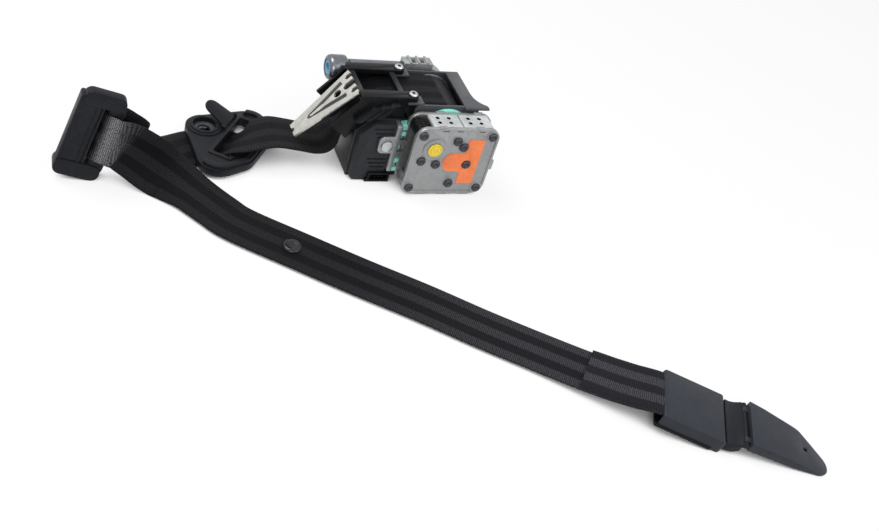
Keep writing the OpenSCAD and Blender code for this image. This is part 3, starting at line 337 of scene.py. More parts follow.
def effect(tree, make, vector, **values):
    """Places a shared node group in a finish with its own values."""
    if make.__name__ not in EFFECTS:
        EFFECTS[make.__name__] = make()
    made = node(tree, "ShaderNodeGroup", node_tree=EFFECTS[make.__name__])
    tree.links.new(vector, made.inputs["Vector"])
    for key, value in values.items():
        made.inputs[key].default_value = value
    return made.outputs


# Finishes

# Mouldings and metals: the setting that holds their tone, and the values of their finish
MOULDINGS = {
    "Fitting Black": ("black", dict(gloss=0.42, grain=1000.0, depth=0.2, rub=0.35, shine=0.12)),
    "Button Black": ("black", dict(gloss=0.3, grain=1400.0, depth=0.08, rub=0.5, shine=0.3)),
    "Anchor Blue Black": ("anchor", dict(gloss=0.46, grain=1300.0, depth=0.12, rub=0.3, shine=0.2)),
    # Darker black that paints shade: the anchor sleeve's foot and dark bars in gaps and holes
    "Under Flange": ("guide", dict(gloss=0.5, grain=1000.0, depth=0.2, rub=0.3, shine=0.15)),
    "Neck Black": ("neck", dict(gloss=0.46, grain=1300.0, depth=0.12, rub=0.3, shine=0.15)),
    "Housing Black": ("guide", dict(gloss=0.3, grain=1200.0, depth=0.15, rub=0.6, shine=0.15)),
    "Cover Black": ("box", dict(gloss=0.5, grain=1000.0, depth=0.25, rub=0.4, shine=0.2)),
    "Mint": ("mint", dict(gloss=0.4, grain=1200.0, depth=0.1, rub=0.3)),
    "Yellow": ("yellow", dict(gloss=0.4, grain=1200.0, depth=0.1, rub=0.3)),
    "Blue": ("blue", dict(gloss=0.35, grain=1200.0, depth=0.1, rub=0.3)),
    "Pale Grey": ("pale", dict(gloss=0.45, grain=1200.0, depth=0.1, rub=0.3)),
    "Orange Film": ("orange", dict(gloss=0.5, grain=600.0, depth=0.05, rub=0.2)),
    "Nylon": ("nylon", dict(gloss=0.4, grain=1200.0, depth=0.1, rub=0.2)),
}
METALS = {
    "Plate Metal": ("plate", dict(gloss=0.42, spangle=420.0, metallic=0.75, pits=0.5, depth=0.2)),
    "Dark Rivet": ("dark", dict(gloss=0.4, spangle=500.0, metallic=0.8, pits=0.3, depth=0.15, rub=0.8)),
    "Bright Zinc": ("zinc", dict(gloss=0.34, spangle=300.0, metallic=0.85, pits=0.15, depth=0.1)),
    "Groove Black": ("coat", dict(gloss=0.6, spangle=500.0, metallic=0.1, pits=0.2, depth=0.15, rub=0.1)),
    "Black Coat": ("coat", dict(gloss=0.42, spangle=500.0, metallic=0.15, pits=0.2, depth=0.15)),
    "Generator Steel": ("tube", dict(gloss=0.3, spangle=500.0, metallic=0.9, pits=0.4, depth=0.1)),
    "Cast Alloy": ("cast", dict(gloss=0.45, spangle=900.0, metallic=0.8, pits=0.5, depth=0.35)),
    "Bright Steel": ("steel", dict(gloss=0.28, spangle=500.0, metallic=1.0, pits=0.2, depth=0.08)),
    "Spool Alloy": ("cast", dict(gloss=0.45, spangle=700.0, metallic=0.8, pits=0.3, depth=0.2)),
    "Gear Brass": ("brass", dict(gloss=0.32, spangle=500.0, metallic=1.0, pits=0.2, depth=0.08)),
    "Dull Tin": ("dark", dict(gloss=0.5, spangle=500.0, metallic=0.9, pits=0.2, depth=0.08)),
}
# The wound belt takes its tone from the belt's settings
WOUND = dict(gloss=0.55, grain=700.0, depth=0.5, rub=0.2, shine=0.1)
# Height of the relief in the finishes, in metres
GRAIN_RELIEF = 0.00012
METAL_RELIEF = 0.0001
WEAVE_RELIEF = 0.00025


def finish_start(name):
    """A new material, its tree and the inputs of its shader."""
    material = bpy.data.materials.new(name)
    material.use_nodes = True
    tree = material.node_tree
    return material, tree, tree.nodes["Principled BSDF"].inputs


def surface_places(tree):
    return node(tree, "ShaderNodeTexCoord").outputs


def bump(tree, shader, height, strength, distance):
    made = node(tree, "ShaderNodeBump")
    made.inputs["Strength"].default_value = strength
    made.inputs["Distance"].default_value = distance
    tree.links.new(height, made.inputs["Height"])
    tree.links.new(made.outputs[0], shader["Normal"])


def wiped(tree, shader, wipe, low, high):
    """Roughness that goes from one value to another with the wipes of handling."""
    rough = node(tree, "ShaderNodeMapRange")
    rough.inputs["To Min"].default_value = low
    rough.inputs["To Max"].default_value = high
    tree.links.new(wipe, rough.inputs["Value"])
    tree.links.new(rough.outputs[0], shader["Roughness"])


def scaled(tone, factor):
    return tuple(min(1.0, part * factor) for part in tone[:3]) + (1.0,)


def moulding(name, tone, gloss, grain, depth, rub, shine=0.5):
    """Moulded plastic: grain, faint wipes, rubbed edges"""
    material, tree, shader = finish_start(name)
    where = surface_places(tree)["Object"]
    skin = effect(tree, moulded_grain, where, Size=grain)
    marks = effect(tree, handling_marks, where, Turn=0.6)
    worn = effect(tree, edge_rub, where, Amount=rub)
    body = mix_colour(tree, skin["Tone"], scaled(tone, 0.88), scaled(tone, 1.1))
    body = mix_colour(tree, times(tree, marks["Scratch"], 0.3), body, scaled(tone, 2.2))
    body = mix_colour(tree, worn["Mask"], body, scaled(tone, 1.9))
    tree.links.new(body, shader["Base Color"])
    wiped(tree, shader, marks["Wipe"], gloss - 0.07, gloss + 0.09)
    shader["Specular IOR Level"].default_value = shine
    bump(tree, shader, skin["Height"], depth, GRAIN_RELIEF)
    return material


def metal(name, tone, gloss, spangle, metallic, pits, depth, rub=0.5):
    """Plated or bare metal: rolling lines, cloudy plating, pits, bright edges"""
    material, tree, shader = finish_start(name)
    where = surface_places(tree)["Object"]
    sheet = effect(tree, drawn_metal, where, Spangle=spangle)
    marks = effect(tree, handling_marks, where, Turn=1.1)
    worn = effect(tree, edge_rub, where, Amount=rub)
    body = mix_colour(tree, sheet["Tone"], scaled(tone, 0.78), scaled(tone, 1.12))
    body = mix_colour(tree, times(tree, sheet["Pit"], pits), body, scaled(tone, 0.4))
    body = mix_colour(tree, worn["Mask"], body, scaled(tone, 1.35))
    tree.links.new(body, shader["Base Color"])
    shader["Metallic"].default_value = metallic
    wiped(tree, shader, marks["Wipe"], gloss - 0.06, gloss + 0.1)
    height = plus(tree, sheet["Height"], times(tree, sheet["Pit"], -0.8))
    bump(tree, shader, height, depth, METAL_RELIEF)
    return material


def moulded(tones, name):
    tone, values = MOULDINGS[name]
    return moulding(name, getattr(tones, tone), **values)


def plated(tones, name):
    tone, values = METALS[name]
    return metal(name, getattr(tones, tone), **values)


def weave_colour(tree, weave, yarn, shade, hollow_shade):
    """Light and dark bands of the weave, darker in fibre noise and in the hollows between its ribs, the
    darker hollows being painted shade.
    """
    tone = mix_colour(tree, weave["Band"], yarn, shade)
    return mix_colour(tree, ramp(tree, weave["Fleck"], 0.2, 0.85), hollow_shade, tone)


def painted_light_colour(tree, places, weave, lit, pale, highlight_span, brighter_span, crest_highlight):
    """The belt's colour, painted paler along one stretch as a brighter light and given a speckled painted
    highlight along another.
    """
    along = map_parts(tree, places["UV"])[1]
    # Painted brighter light: paler from this stretch to the anchor end
    lit = mix_colour(tree, ramp(tree, along, brighter_span[0], brighter_span[1]), lit, pale)
    start = ramp(tree, along, highlight_span[0] - 0.1, highlight_span[0] + 0.1)
    end = ramp(tree, along, highlight_span[1] + 0.25, highlight_span[1] - 0.3)
    # Speckled painted highlight over the crest stretch
    speck = noise(tree, places["Object"], scale=1100.0, detail=4.0, rough=0.75)
    highlight_speckle = ramp(tree, plus(tree, speck, times(tree, weave["Fleck"], 0.5)), 0.55, 0.95)
    return mix_colour(tree, times(tree, times(tree, start, end), highlight_speckle), lit, crest_highlight)


def woven(name, yarn, shade, shift, **painted_light):
    """Ribbed polyester belt with darker bands, with painted light where its stretches are given in belt
    widths
    """
    material, tree, shader = finish_start(name)
    places = surface_places(tree)
    weave = effect(tree, belt_weave, places["UV"], Shift=shift)
    lit = weave_colour(tree, weave, yarn, shade, scaled(shade, 0.5))
    if painted_light:
        pale = weave_colour(tree, weave, scaled(yarn, 2.7), scaled(shade, 2.2), scaled(shade, 0.8))
        lit = painted_light_colour(tree, places, weave, lit, pale, **painted_light)
    tree.links.new(lit, shader["Base Color"])
    shader["Roughness"].default_value = 0.55
    shader["Specular IOR Level"].default_value = 0.07
    shader["Sheen Weight"].default_value = 0.02
    shader["Sheen Roughness"].default_value = 0.4
    shader["Sheen Tint"].default_value = (0.8, 0.82, 0.9, 1.0)
    bump(tree, shader, weave["Height"], 0.5, WEAVE_RELIEF)
    return material


# Mesh helpers

# Faces that lean less than FLAT are one face, and edges that turn more than CREASE are rounded
FLAT = math.radians(0.6)
CREASE = math.radians(28.0)


def show(name, shape, finish, body=None, stands_for=(), smooth=40.0):
    """Makes an object of a bmesh, rides it on a body where one is named and gives it its finish."""
    mesh = bpy.data.meshes.new(name)
    shape.to_mesh(mesh)
    shape.free()
    mesh.polygons.foreach_set("use_smooth", [True] * len(mesh.polygons))
    mesh.set_sharp_from_angle(angle=math.radians(smooth))
    piece = bpy.data.objects.new(name, mesh)
    bpy.context.scene.collection.objects.link(piece)
    piece.data.materials.append(finish)
    if body:
        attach(piece, body)
    if stands_for:
        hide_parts(*stands_for)
    return piece


def node_body(name):
    for body, names in frame["record"]["behaviour"]["bodies"].items():
        if name in names:
            return body
    raise RuntimeError("no body holds " + name)


def stand_in(name, shape, finish, smooth=40.0):
    """Shows a shape in a CAD node's place."""
    return show(name + "_finished", shape, finish, node_body(name), (name,), smooth)


def added(name, shape, finish, owner):
    """Shows a small piece that moves with a CAD node."""
    return show(name, shape, finish, node_body(owner))


def merged(name):
    """A CAD node's mesh with its loose triangles joined and its flat faces made whole."""
    shape = bmesh.new()
    shape.from_mesh(frame["nodes"][name].data)
    bmesh.ops.remove_doubles(shape, verts=shape.verts, dist=WELD)
    bmesh.ops.dissolve_limit(shape, angle_limit=FLAT, verts=shape.verts, edges=shape.edges)
    return shape


def rounded(shape, edges, radius, segments):
    bmesh.ops.bevel(
        shape,
        geom=edges,
        offset=radius,
        offset_type="OFFSET",
        segments=segments,
        profile=0.5,
        affect="EDGES",
        clamp_overlap=True,
        material=-1,
    )


def softened(name, finish, segments=2, reshape=None):
    """Stands a copy with rounded edges in for a CAD node, after an optional change of its mesh."""
    shape = merged(name)
    if reshape:
        reshape(shape)
    sharp = [edge for edge in shape.edges if edge.is_manifold and edge.calc_face_angle(0.0) > CREASE]
    rounded(shape, sharp, EDGE_RADIUS[name] * MM, segments)
    return stand_in(name, shape, finish)


def dress(name, finish):
    """Gives a CAD node that keeps its own mesh a finish."""
    owner = frame["nodes"][name]
    owner.data.materials.clear()
    owner.data.materials.append(finish)


def recoated(piece, finish, picks):
    """Gives the faces that a test picks a second finish."""
    piece.data.materials.append(finish)
    for face in piece.data.polygons:
        if picks(face.center):
            face.material_index = 1


def spun(shape, profile, foot, axis, steps):
    """Turns a profile of (radius, height) pairs, in millimetres, about an axis that starts at its foot."""
    out = axis.orthogonal().normalized()
    ring = [shape.verts.new(foot + (out * radius + axis * height) * MM) for radius, height in profile]
    edges = [shape.edges.new(pair) for pair in zip(ring, ring[1:])]
    bmesh.ops.spin(
        shape,
        geom=ring + edges,
        cent=foot,
        axis=axis,
        dvec=(0, 0, 0),
        angle=2 * math.pi,
        steps=steps,
        use_merge=True,
    )


def turned(name, profile, feet, axis, finish, steps):
    """Stands turned pieces of one profile in for a CAD node."""
    shape = bmesh.new()
    for foot in feet:
        spun(shape, profile, foot, axis, steps)
    bmesh.ops.remove_doubles(shape, verts=shape.verts, dist=WELD)
    bmesh.ops.recalc_face_normals(shape, faces=shape.faces)
    return stand_in(name, shape, finish, smooth=30.0)


def leg_plate(outline, top, bottom):
    """A plate of that outline between two depths below the leg's face."""
    shape = bmesh.new()
    face = shape.faces.new([shape.verts.new(leg_point(along, aside, top)) for along, aside in outline])
    made = bmesh.ops.extrude_face_region(shape, geom=[face])
    lifted = [item for item in made["geom"] if isinstance(item, bmesh.types.BMVert)]
    depth = leg_point(0.0, 0.0, bottom) - leg_point(0.0, 0.0, top)
    bmesh.ops.translate(shape, vec=depth, verts=lifted)
    bmesh.ops.recalc_face_normals(shape, faces=shape.faces)
    return shape


def rounded_bar(low, high, radius, place):
    """A bar between two corners of a piece's own frame, in millimetres, with its edges rounded."""
    shape = bmesh.new()
    bmesh.ops.create_cube(shape, size=1.0)
    for vert in shape.verts:
        share = vert.co + Vector((0.5, 0.5, 0.5))
        vert.co = place(*(a + (b - a) * part for a, b, part in zip(low, high, share)))
    rounded(shape, list(shape.edges), radius * MM, segments=3)
    bmesh.ops.recalc_face_normals(shape, faces=shape.faces)
    return shape


# Where things lie, in millimetres as laid on the floor, with the model's own origin at MIDDLE

MIDDLE = Vector((3.16, 1.55, -0.06))
TONGUE_TURN = Matrix.Rotation(math.radians(-3.3), 3, "Z") @ Matrix.Rotation(math.radians(14.9), 3, "Y")
TONGUE_AT = Vector((-262.3, 149.5, 3.0))
ANCHOR_TURN = Matrix.Rotation(math.radians(-28.7), 3, "Z") @ Matrix.Rotation(math.radians(9.0), 3, "Y")
ANCHOR_AT = Vector((157.1, -151.8, 8.995))
RETRACTOR_AT = Vector((62.0, 180.0, 52.0))
LEG_AT = Vector((-88.0, -5.0, 36.0))
LEG_TURN = Matrix.Rotation(math.radians(130.0), 3, "Y")
# Middle of the belt along the tongue, and the anchor's bar with the belt's way around it
BELT_ON_TONGUE = 44.0
BAR_ALONG = 15.0
BAR_HEIGHT = 6.5
BAR_WRAP = 3.45


def on_tongue(along, aside, height=BELT_ON_TONGUE):
    return TONGUE_AT + TONGUE_TURN @ Vector((along, aside, height))


def on_anchor(along, height, aside=0.0):
    return ANCHOR_AT + ANCHOR_TURN @ Vector((along, aside, height))


def model_point(point):
    """A point laid on the floor as a place in the model, in metres."""
    return (Vector(point) - MIDDLE) * MM


def tongue_point(along, aside, height):
    return model_point(on_tongue(along, aside, height))


def anchor_point(along, aside, height):
    return model_point(on_anchor(along, height, aside))


def anchor_place(point):
    """A point of the model in the anchor's own frame, in millimetres."""
    return ANCHOR_TURN.transposed() @ (point / MM + MIDDLE - ANCHOR_AT)


def retractor_point(along, aside, height):
    return model_point(RETRACTOR_AT + Vector((along, aside, height)))


def leg_point(along, aside, depth):
    return retractor_point(*(LEG_AT + LEG_TURN @ Vector((along, aside, depth))))


def bar_turn(angle):
    """Point on the belt's way around the anchor's bar."""
    angle = math.radians(angle)
    return on_anchor(BAR_ALONG + BAR_WRAP * math.cos(angle), BAR_HEIGHT + BAR_WRAP * math.sin(angle))


# The belt's route: its centre, and the direction of its far or upper edge
TONGUE_UP = tuple(TONGUE_TURN.col[2])
ANCHOR_ACROSS = tuple(ANCHOR_TURN.col[1])
# Distance of the belt from the middle of the tongue's bar
WRAP = 5.95
ROUTE = [
    ((62, 180, 77.95), (0, 1, 0)),
    ((42, 180, 78), (0, 1, 0)),
    ((20, 180, 77), (0, 1, 0)),
    ((0, 180, 73.5), (0, 1, 0)),
    ((-18, 180, 66), (0, 1, 0)),
    ((-30, 180, 54), (0, 1, 0)),
    ((-34, 180, 42), (0, 1, 0)),
    ((-35.5, 180, 31), (0, 1, 0)),
    ((-41, 180, 23), (0, 1, 0)),
    ((-52, 180, 20.5), (0, 1, 0)),
    ((-70, 180.5, 23.5), (0.02, 1, 0)),
    ((-87, 180.5, 26), (0.03, 1, 0)),
    ((-99, 180.2, 24.3), (0.1, 0.99, 0)),
    ((-108.5, 180.6, 20.2), (0.25, 0.97, 0)),
    ((-117.6, 183.6, 13), (0.53, 0.85, 0)),
    ((-121.3, 186.2, 8.2), (0.574, 0.819, 0)),
    ((-125.4, 189.1, 3.1), (0.574, 0.819, 0)),
    ((-130.3, 192.5, 2), (0.5, 0.86, 0)),
    ((-141, 192.5, 2), (-0.1, 0.99, 0)),
    ((-156, 188, 2), (-0.28, 0.96, 0)),
    ((-172, 180.5, 2.4), (-0.5, 0.86, 0.03)),
    ((-187, 170, 7), (-0.45, 0.84, 0.16)),
    ((-200, 160, 14.5), (-0.25, 0.8, 0.55)),
    ((-214, 157, 26), (0.25, 0.5, 0.83)),
    (on_tongue(20, WRAP + 6), TONGUE_UP),
    (on_tongue(13, WRAP + 1.2), TONGUE_UP),
    (on_tongue(9.6, WRAP), TONGUE_UP),
    (on_tongue(5.4, 4.2), TONGUE_UP),
    (on_tongue(3.65, 0), TONGUE_UP),
    (on_tongue(5.4, -4.2), TONGUE_UP),
    (on_tongue(9.6, -WRAP), TONGUE_UP),
    (on_tongue(13, -WRAP - 0.8), TONGUE_UP),
    (on_tongue(20, -WRAP - 3), TONGUE_UP),
    ((-224, 138, 38.5), (0.45, 0.05, 0.88)),
    ((-211, 138, 29), (0.57, 0.2, 0.8)),
    ((-199, 137, 19.5), (0.65, 0.43, 0.6)),
    ((-187, 134.5, 11.5), (0.72, 0.6, 0.33)),
    ((-170, 122, 4.6), (0.79, 0.61, 0.05)),
    ((-152, 99, 3.2), (0.815, 0.58, 0)),
    ((-136, 79.5, 3.2), (0.68, 0.73, 0)),
    ((-92, 45, 3.2), (0.6, 0.8, 0)),
    ((-48, 11, 3.2), (0.6, 0.8, 0)),
    ((-3, -22, 3.2), (0.6, 0.8, 0)),
    ((40, -56, 3.2), (0.6, 0.8, 0)),
    ((82, -88, 4), (0.58, 0.81, 0)),
    ((114, -116, 8), (0.55, 0.83, 0)),
    ((138, -138, 14.5), (0.5, 0.86, 0)),
    (on_anchor(-4, 9.3), ANCHOR_ACROSS),
    (on_anchor(7, 9.5), ANCHOR_ACROSS),
    (bar_turn(90), ANCHOR_ACROSS),
    (bar_turn(45), ANCHOR_ACROSS),
    (bar_turn(0), ANCHOR_ACROSS),
    (bar_turn(-45), ANCHOR_ACROSS),
    (bar_turn(-90), ANCHOR_ACROSS),
    (on_anchor(10, 3.05), ANCHOR_ACROSS),
    (on_anchor(4, 3.05), ANCHOR_ACROSS),
]
# Route points between which a speckled painted highlight lies on the belt's crest past the tongue
CREST_HIGHLIGHT = (30, 32)
# Route points from which the belt is painted paler towards its end, a painted brighter light
BRIGHTER_STRETCH = (40, 44)
# The sewn end: the belt's last stretch lies doubled on top of the long run
SEWN = [
    ((110.8, -111.6, 8.9), (0.55, 0.83, 0)),
    ((116, -116, 9.9), (0.55, 0.83, 0)),
    ((127, -126.4, 12.4), (0.53, 0.85, 0)),
    ((138.4, -137.4, 15.75), (0.5, 0.86, 0)),
    (on_anchor(-4, 10.5), ANCHOR_ACROSS),
    (on_anchor(6, 10.55), ANCHOR_ACROSS),
]
# How far the bands lie off the middle, in belt widths, and how many times as pale the sewn end is painted,
# as painted brighter light
BAND_SHIFT = 0.1
SEWN_PALER = 3.4


def bent(points, step, part):
    """Smooth curve through the points, the same one that the solid belt follows."""
    last = len(points) - 1
    before, start, end, after = (points[max(0, min(last, step + k))] for k in (-1, 0, 1, 2))
    return (
        start
        + (end - before) * part / 2
        + (2 * before - 5 * start + 4 * end - after) * part**2 / 2
        + (3 * start - before - 3 * end + after) * part**3 / 2
    )


def laid_rows(route, steps):
    """Centre, width direction and upward direction of each row of the belt."""
    middle = [model_point(point) for point, _ in route]
    edge = [Vector(side) for _, side in route]
    centres = []
    sides = []
    for step in range(len(route) - 1):
        for k in range(steps):
            centres.append(bent(middle, step, k / steps))
            sides.append(bent(edge, step, k / steps))
    centres.append(middle[-1])
    sides.append(edge[-1])
    rows = []
    for i, centre in enumerate(centres):
        run = (centres[min(i + 1, len(centres) - 1)] - centres[max(i - 1, 0)]).normalized()
        side = (sides[i] - sides[i].dot(run) * run).normalized()
        rows.append((centre, side, run.cross(side)))
    return rows


def run_lengths(rows):
    """Length of the belt up to each row."""
    lengths = [0.0]
    for first, second in zip(rows, rows[1:]):
        lengths.append(lengths[-1] + (second[0] - first[0]).length)
    return lengths


def belt_strip(name, rows, belt, finish):
    """A grid laid along the rows, mapped in belt widths and given its thickness."""
    lengths = run_lengths(rows)
    last = len(rows) - 1
    shape = bmesh.new()
    bmesh.ops.create_grid(shape, x_segments=belt.strands, y_segments=last, size=0.5, calc_uvs=True)
    chart = shape.loops.layers.uv.verify()
    place = {}
    for vert in shape.verts:
        across = vert.co.x + 0.5
        row = round((vert.co.y + 0.5) * last)
        place[vert.index] = (across, lengths[row] / belt.width)
        centre, side, lift = rows[row]
        crown = belt.crown * math.cos((across - 0.5) * math.pi)
        vert.co = centre + side * (across - 0.5) * belt.width + lift * crown
    for face in shape.faces:
        for loop in face.loops:
            loop[chart].uv = place[loop.vert.index]
    piece = show(name, shape, finish, smooth=80.0)
    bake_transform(piece)
    wall = piece.modifiers.new("Thickness", "SOLIDIFY")
    wall.thickness = belt.thickness
    wall.offset = 0.0
    return piece, lengths[-1]


# Sizes of the pieces made or finished here, in millimetres

# Radius on the edges of the pieces that are rounded
EDGE_RADIUS = {
    "tongue_grip": 2.6,
    "loop_cover": 0.9,
    "loop_flap": 0.8,
    "anchor_sleeve": 1.2,
    "anchor_neck": 0.6,
    "anchor_cap": 1.2,
    "control_case": 1.2,
    "connector_shroud": 0.5,
    "belt_guide": 0.6,
    "spring_cover": 1.2,
    "sensor_housing": 0.8,
    "ribbed_grommet": 0.2,
    "control_cover": 0.4,
    "clutch_housing": 0.4,
    "igniter_socket": 0.4,
    "spacer_blocks": 0.3,
    "blank_label": 0.08,
    "gear_front_plate": 0.5,
    "gear_back_plate": 0.5,
    "box_bracket": 0.5,
    "mounting_leg": 0.35,
    "frame": 0.4,
    "loop_plate": 0.3,
    "generator_tube": 0.5,
    "rear_casting": 0.8,
    "knurled_pin": 0.3,
    "tongue_plate": 0.3,
    "anchor_plate": 0.3,
    "guide_screws": 0.2,
}
# Bars added to the mouldings: two corners in the frame of what they sit in, and the radius on their edges
# A black bar in the tongue's slot: painted shade in the gap beside the belt
SLOT_SHADE_BAR = ((0.2, -6.2, 15.0), (2.3, 4.4, 73.0), 0.7)
# A dark bar in the gap beside the wound belt: painted shade
GAP_SHADE_BAR = ((31.0, -22.5, -31.0), (31.9, 22.5, 9.0), 0.3)
# A dark bar under the hole in the anchor cap: painted shade inside the hole
CAP_HOLE_SHADE_BAR = ((125.0, -3.4, 13.6), (132.0, 3.4, 16.2), 0.4)
# Height in the anchor's frame below which the sleeve is painted darker, as painted shade along its foot
SHADE_LINE_HEIGHT = 2.6
# Directions of the turned pieces, the gear plate's front and the face under its corner rivets
UPWARDS = Vector((0.0, 0.0, 1.0))
TO_FRONT = Vector((0.0, -1.0, 0.0))
TO_LEFT = Vector((-1.0, 0.0, 0.0))
FRONT_FACE = -57.5
RIVET_FACE = FRONT_FACE - 0.8
# Turned pieces as (radius, height), and the places of their feet
HEAD_PROFILE = (
    (0, -1), (2, -1), (2, 0), (4.4, 0), (4.4, 0.9), (4.1, 1.5), (3.5, 2), (2.7, 2.2),
    (2.2, 2.1), (1.8, 1.5), (1.3, 1.2), (0, 1.1),
)
CAP_PROFILE = (
    (0, -1), (6.75, -1), (6.75, 2.2), (6.4, 2.6), (5.7, 2.6), (5.4, 2.1), (4.9, 2.1), (4.6, 2.9),
    (4.2, 3.2), (2.3, 3.2), (2, 2.5), (1.2, 2.5), (0.9, 2.9), (0, 2.9),
)
GENERATOR_PROFILE = (
    (0, 0), (7, 0), (7, 2.2), (10.4, 3), (11.6, 4), (12, 5.6), (12, 17), (11.6, 18.9), (10.6, 20.3),
    (9.2, 21), (7.6, 21), (7.5, 20.2), (7.5, 10), (0, 10),
)
BUTTON_PROFILE = (
    (0, 0), (8, 0), (8, 2), (2.5, 2), (2.5, 4.4), (8.2, 4.4), (8.3, 5), (7.9, 5.9), (7.2, 6.5), (6.4, 6.8),
    (5.7, 6.6), (5.2, 6), (4.6, 5.7), (0, 5.7),
)
BUTTON_AT = (-98.0, 49.4, 0.0)
BEARING_CAP_AT = (-17.2, FRONT_FACE, 0.4)
GENERATOR_CAP_AT = (-77.0, 40.0, 20.0)
# Heads on the gear plate, as (across, height)
RIVETS = ((-32, -43), (-32, 15.5), (37, -43), (37, 15.5))
AXLES = ((3.8, 9.3), (11.3, 2.9), (-27.2, -13.4), (-11.8, -16.7), (7.16, -38.62))
IDLER = ((19.11, -16.43),)
# The leg's groove and the ridge in it, as (along, aside), and the depths that they lie between; the dark
# plate in the groove is painted shade along the ridge's sides
LEG_GROOVE = (
    (12, 11.5), (53.3, 2.4), (55.3, 0), (53.3, -2.4), (12, -11.5), (11, -6.5), (39.3, -0.8), (40.8, 0),
    (39.3, 0.8), (11, 6.5),
)
LEG_RIDGE = ((30, 1.5), (40, 2.1), (51, 1), (52, 0), (51, -1), (40, -2.1), (30, -1.5))
GROOVE_DEPTHS = (1.7, 2.3)
RIDGE_DEPTHS = (0.06, 1.62)
# Four holes in the top of each spacer block, as (across, aside), counted from the block's left side
BLOCK_LEFTS = (-23, 7.5)
HOLES_ACROSS = (8, 19)
HOLES_ASIDE = (-48, -41)
BLOCK_HOLES = [
    (left + across, aside) for left in BLOCK_LEFTS for across in HOLES_ACROSS for aside in HOLES_ASIDE
]
BLOCK_TOP = 23.4
# How far from a hole's centre its rim and its widened wall reach, and the share by which it is widened
RIM_REACH = 1.6
WALL_REACH = 2.3
WIDENING = 0.45
# The guide screws' recesses, painted dark as shade, and how near to a top face a point still lies in it
SCREWS = ((-35.5, -22.0, 36.3), (-35.5, 22.0, 36.3))
RECESS_REACH = 2.1
RECESS_DEPTH = 0.9
SKIN = 0.1


def near_block_hole(point, reach):
    """Centre of the block hole that lies within reach of a point, seen from above."""
    for across, aside in BLOCK_HOLES:
        centre = retractor_point(across, aside, BLOCK_TOP)
        offset = point - centre
        if math.hypot(offset.x, offset.y) < reach * MM:
            return centre
    return None


def widen_holes(shape):
    for vert in shape.verts:
        centre = near_block_hole(vert.co, RIM_REACH)
        if centre:
            vert.co.x += (vert.co.x - centre.x) * WIDENING
            vert.co.y += (vert.co.y - centre.y) * WIDENING


# Wall faces inside a block hole, which are painted dark as shade
def in_shaded_block_hole(point):
    centre = near_block_hole(point, WALL_REACH)
    return centre is not None and point.z < centre.z - SKIN * MM


def in_shaded_screw_recess(point):
    for head in SCREWS:
        offset = point - retractor_point(*head)
        inside = math.hypot(offset.x, offset.y) < RECESS_REACH * MM
        if inside and -RECESS_DEPTH * MM < offset.z < SKIN * MM:
            return True
    return False


def under_flange(point):
    return anchor_place(point).z < SHADE_LINE_HEIGHT


class RETRACTOR_OT_belt(Operator):
    """Lay the free belt from the spool through the loop and the tongue to the anchor"""

    bl_idname = "retractor.belt"
    bl_label = "Belt"

    def execute(self, context):
        belt = context.scene.retractor_belt
        rows = laid_rows(ROUTE, belt.steps)
        run = run_lengths(rows)
        # Belt widths at which the painted highlight and the painted brighter stretch lie
        highlight_span = [run[place * belt.steps] / belt.width for place in CREST_HIGHLIGHT]
        brighter_span = [run[place * belt.steps] / belt.width for place in BRIGHTER_STRETCH]
        painted_light = {"highlight_span": highlight_span, "brighter_span": brighter_span, "crest_highlight": belt.crest_highlight}
        finish = woven("Charcoal Webbing", belt.yarn, belt.shade, -BAND_SHIFT, **painted_light)
        strip, length = belt_strip("belt", rows, belt, finish)
        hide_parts("webbing")
        # The sewn end is painted paler, a painted brighter light like the stretch before it
        yarn = scaled(belt.yarn, SEWN_PALER)
        shade = scaled(belt.shade, SEWN_PALER)
        finish = woven("Sewn Webbing", yarn, shade, BAND_SHIFT)
        fold, length = belt_strip("belt_sewn_end", laid_rows(SEWN, belt.steps), belt, finish)
        return {"FINISHED"}


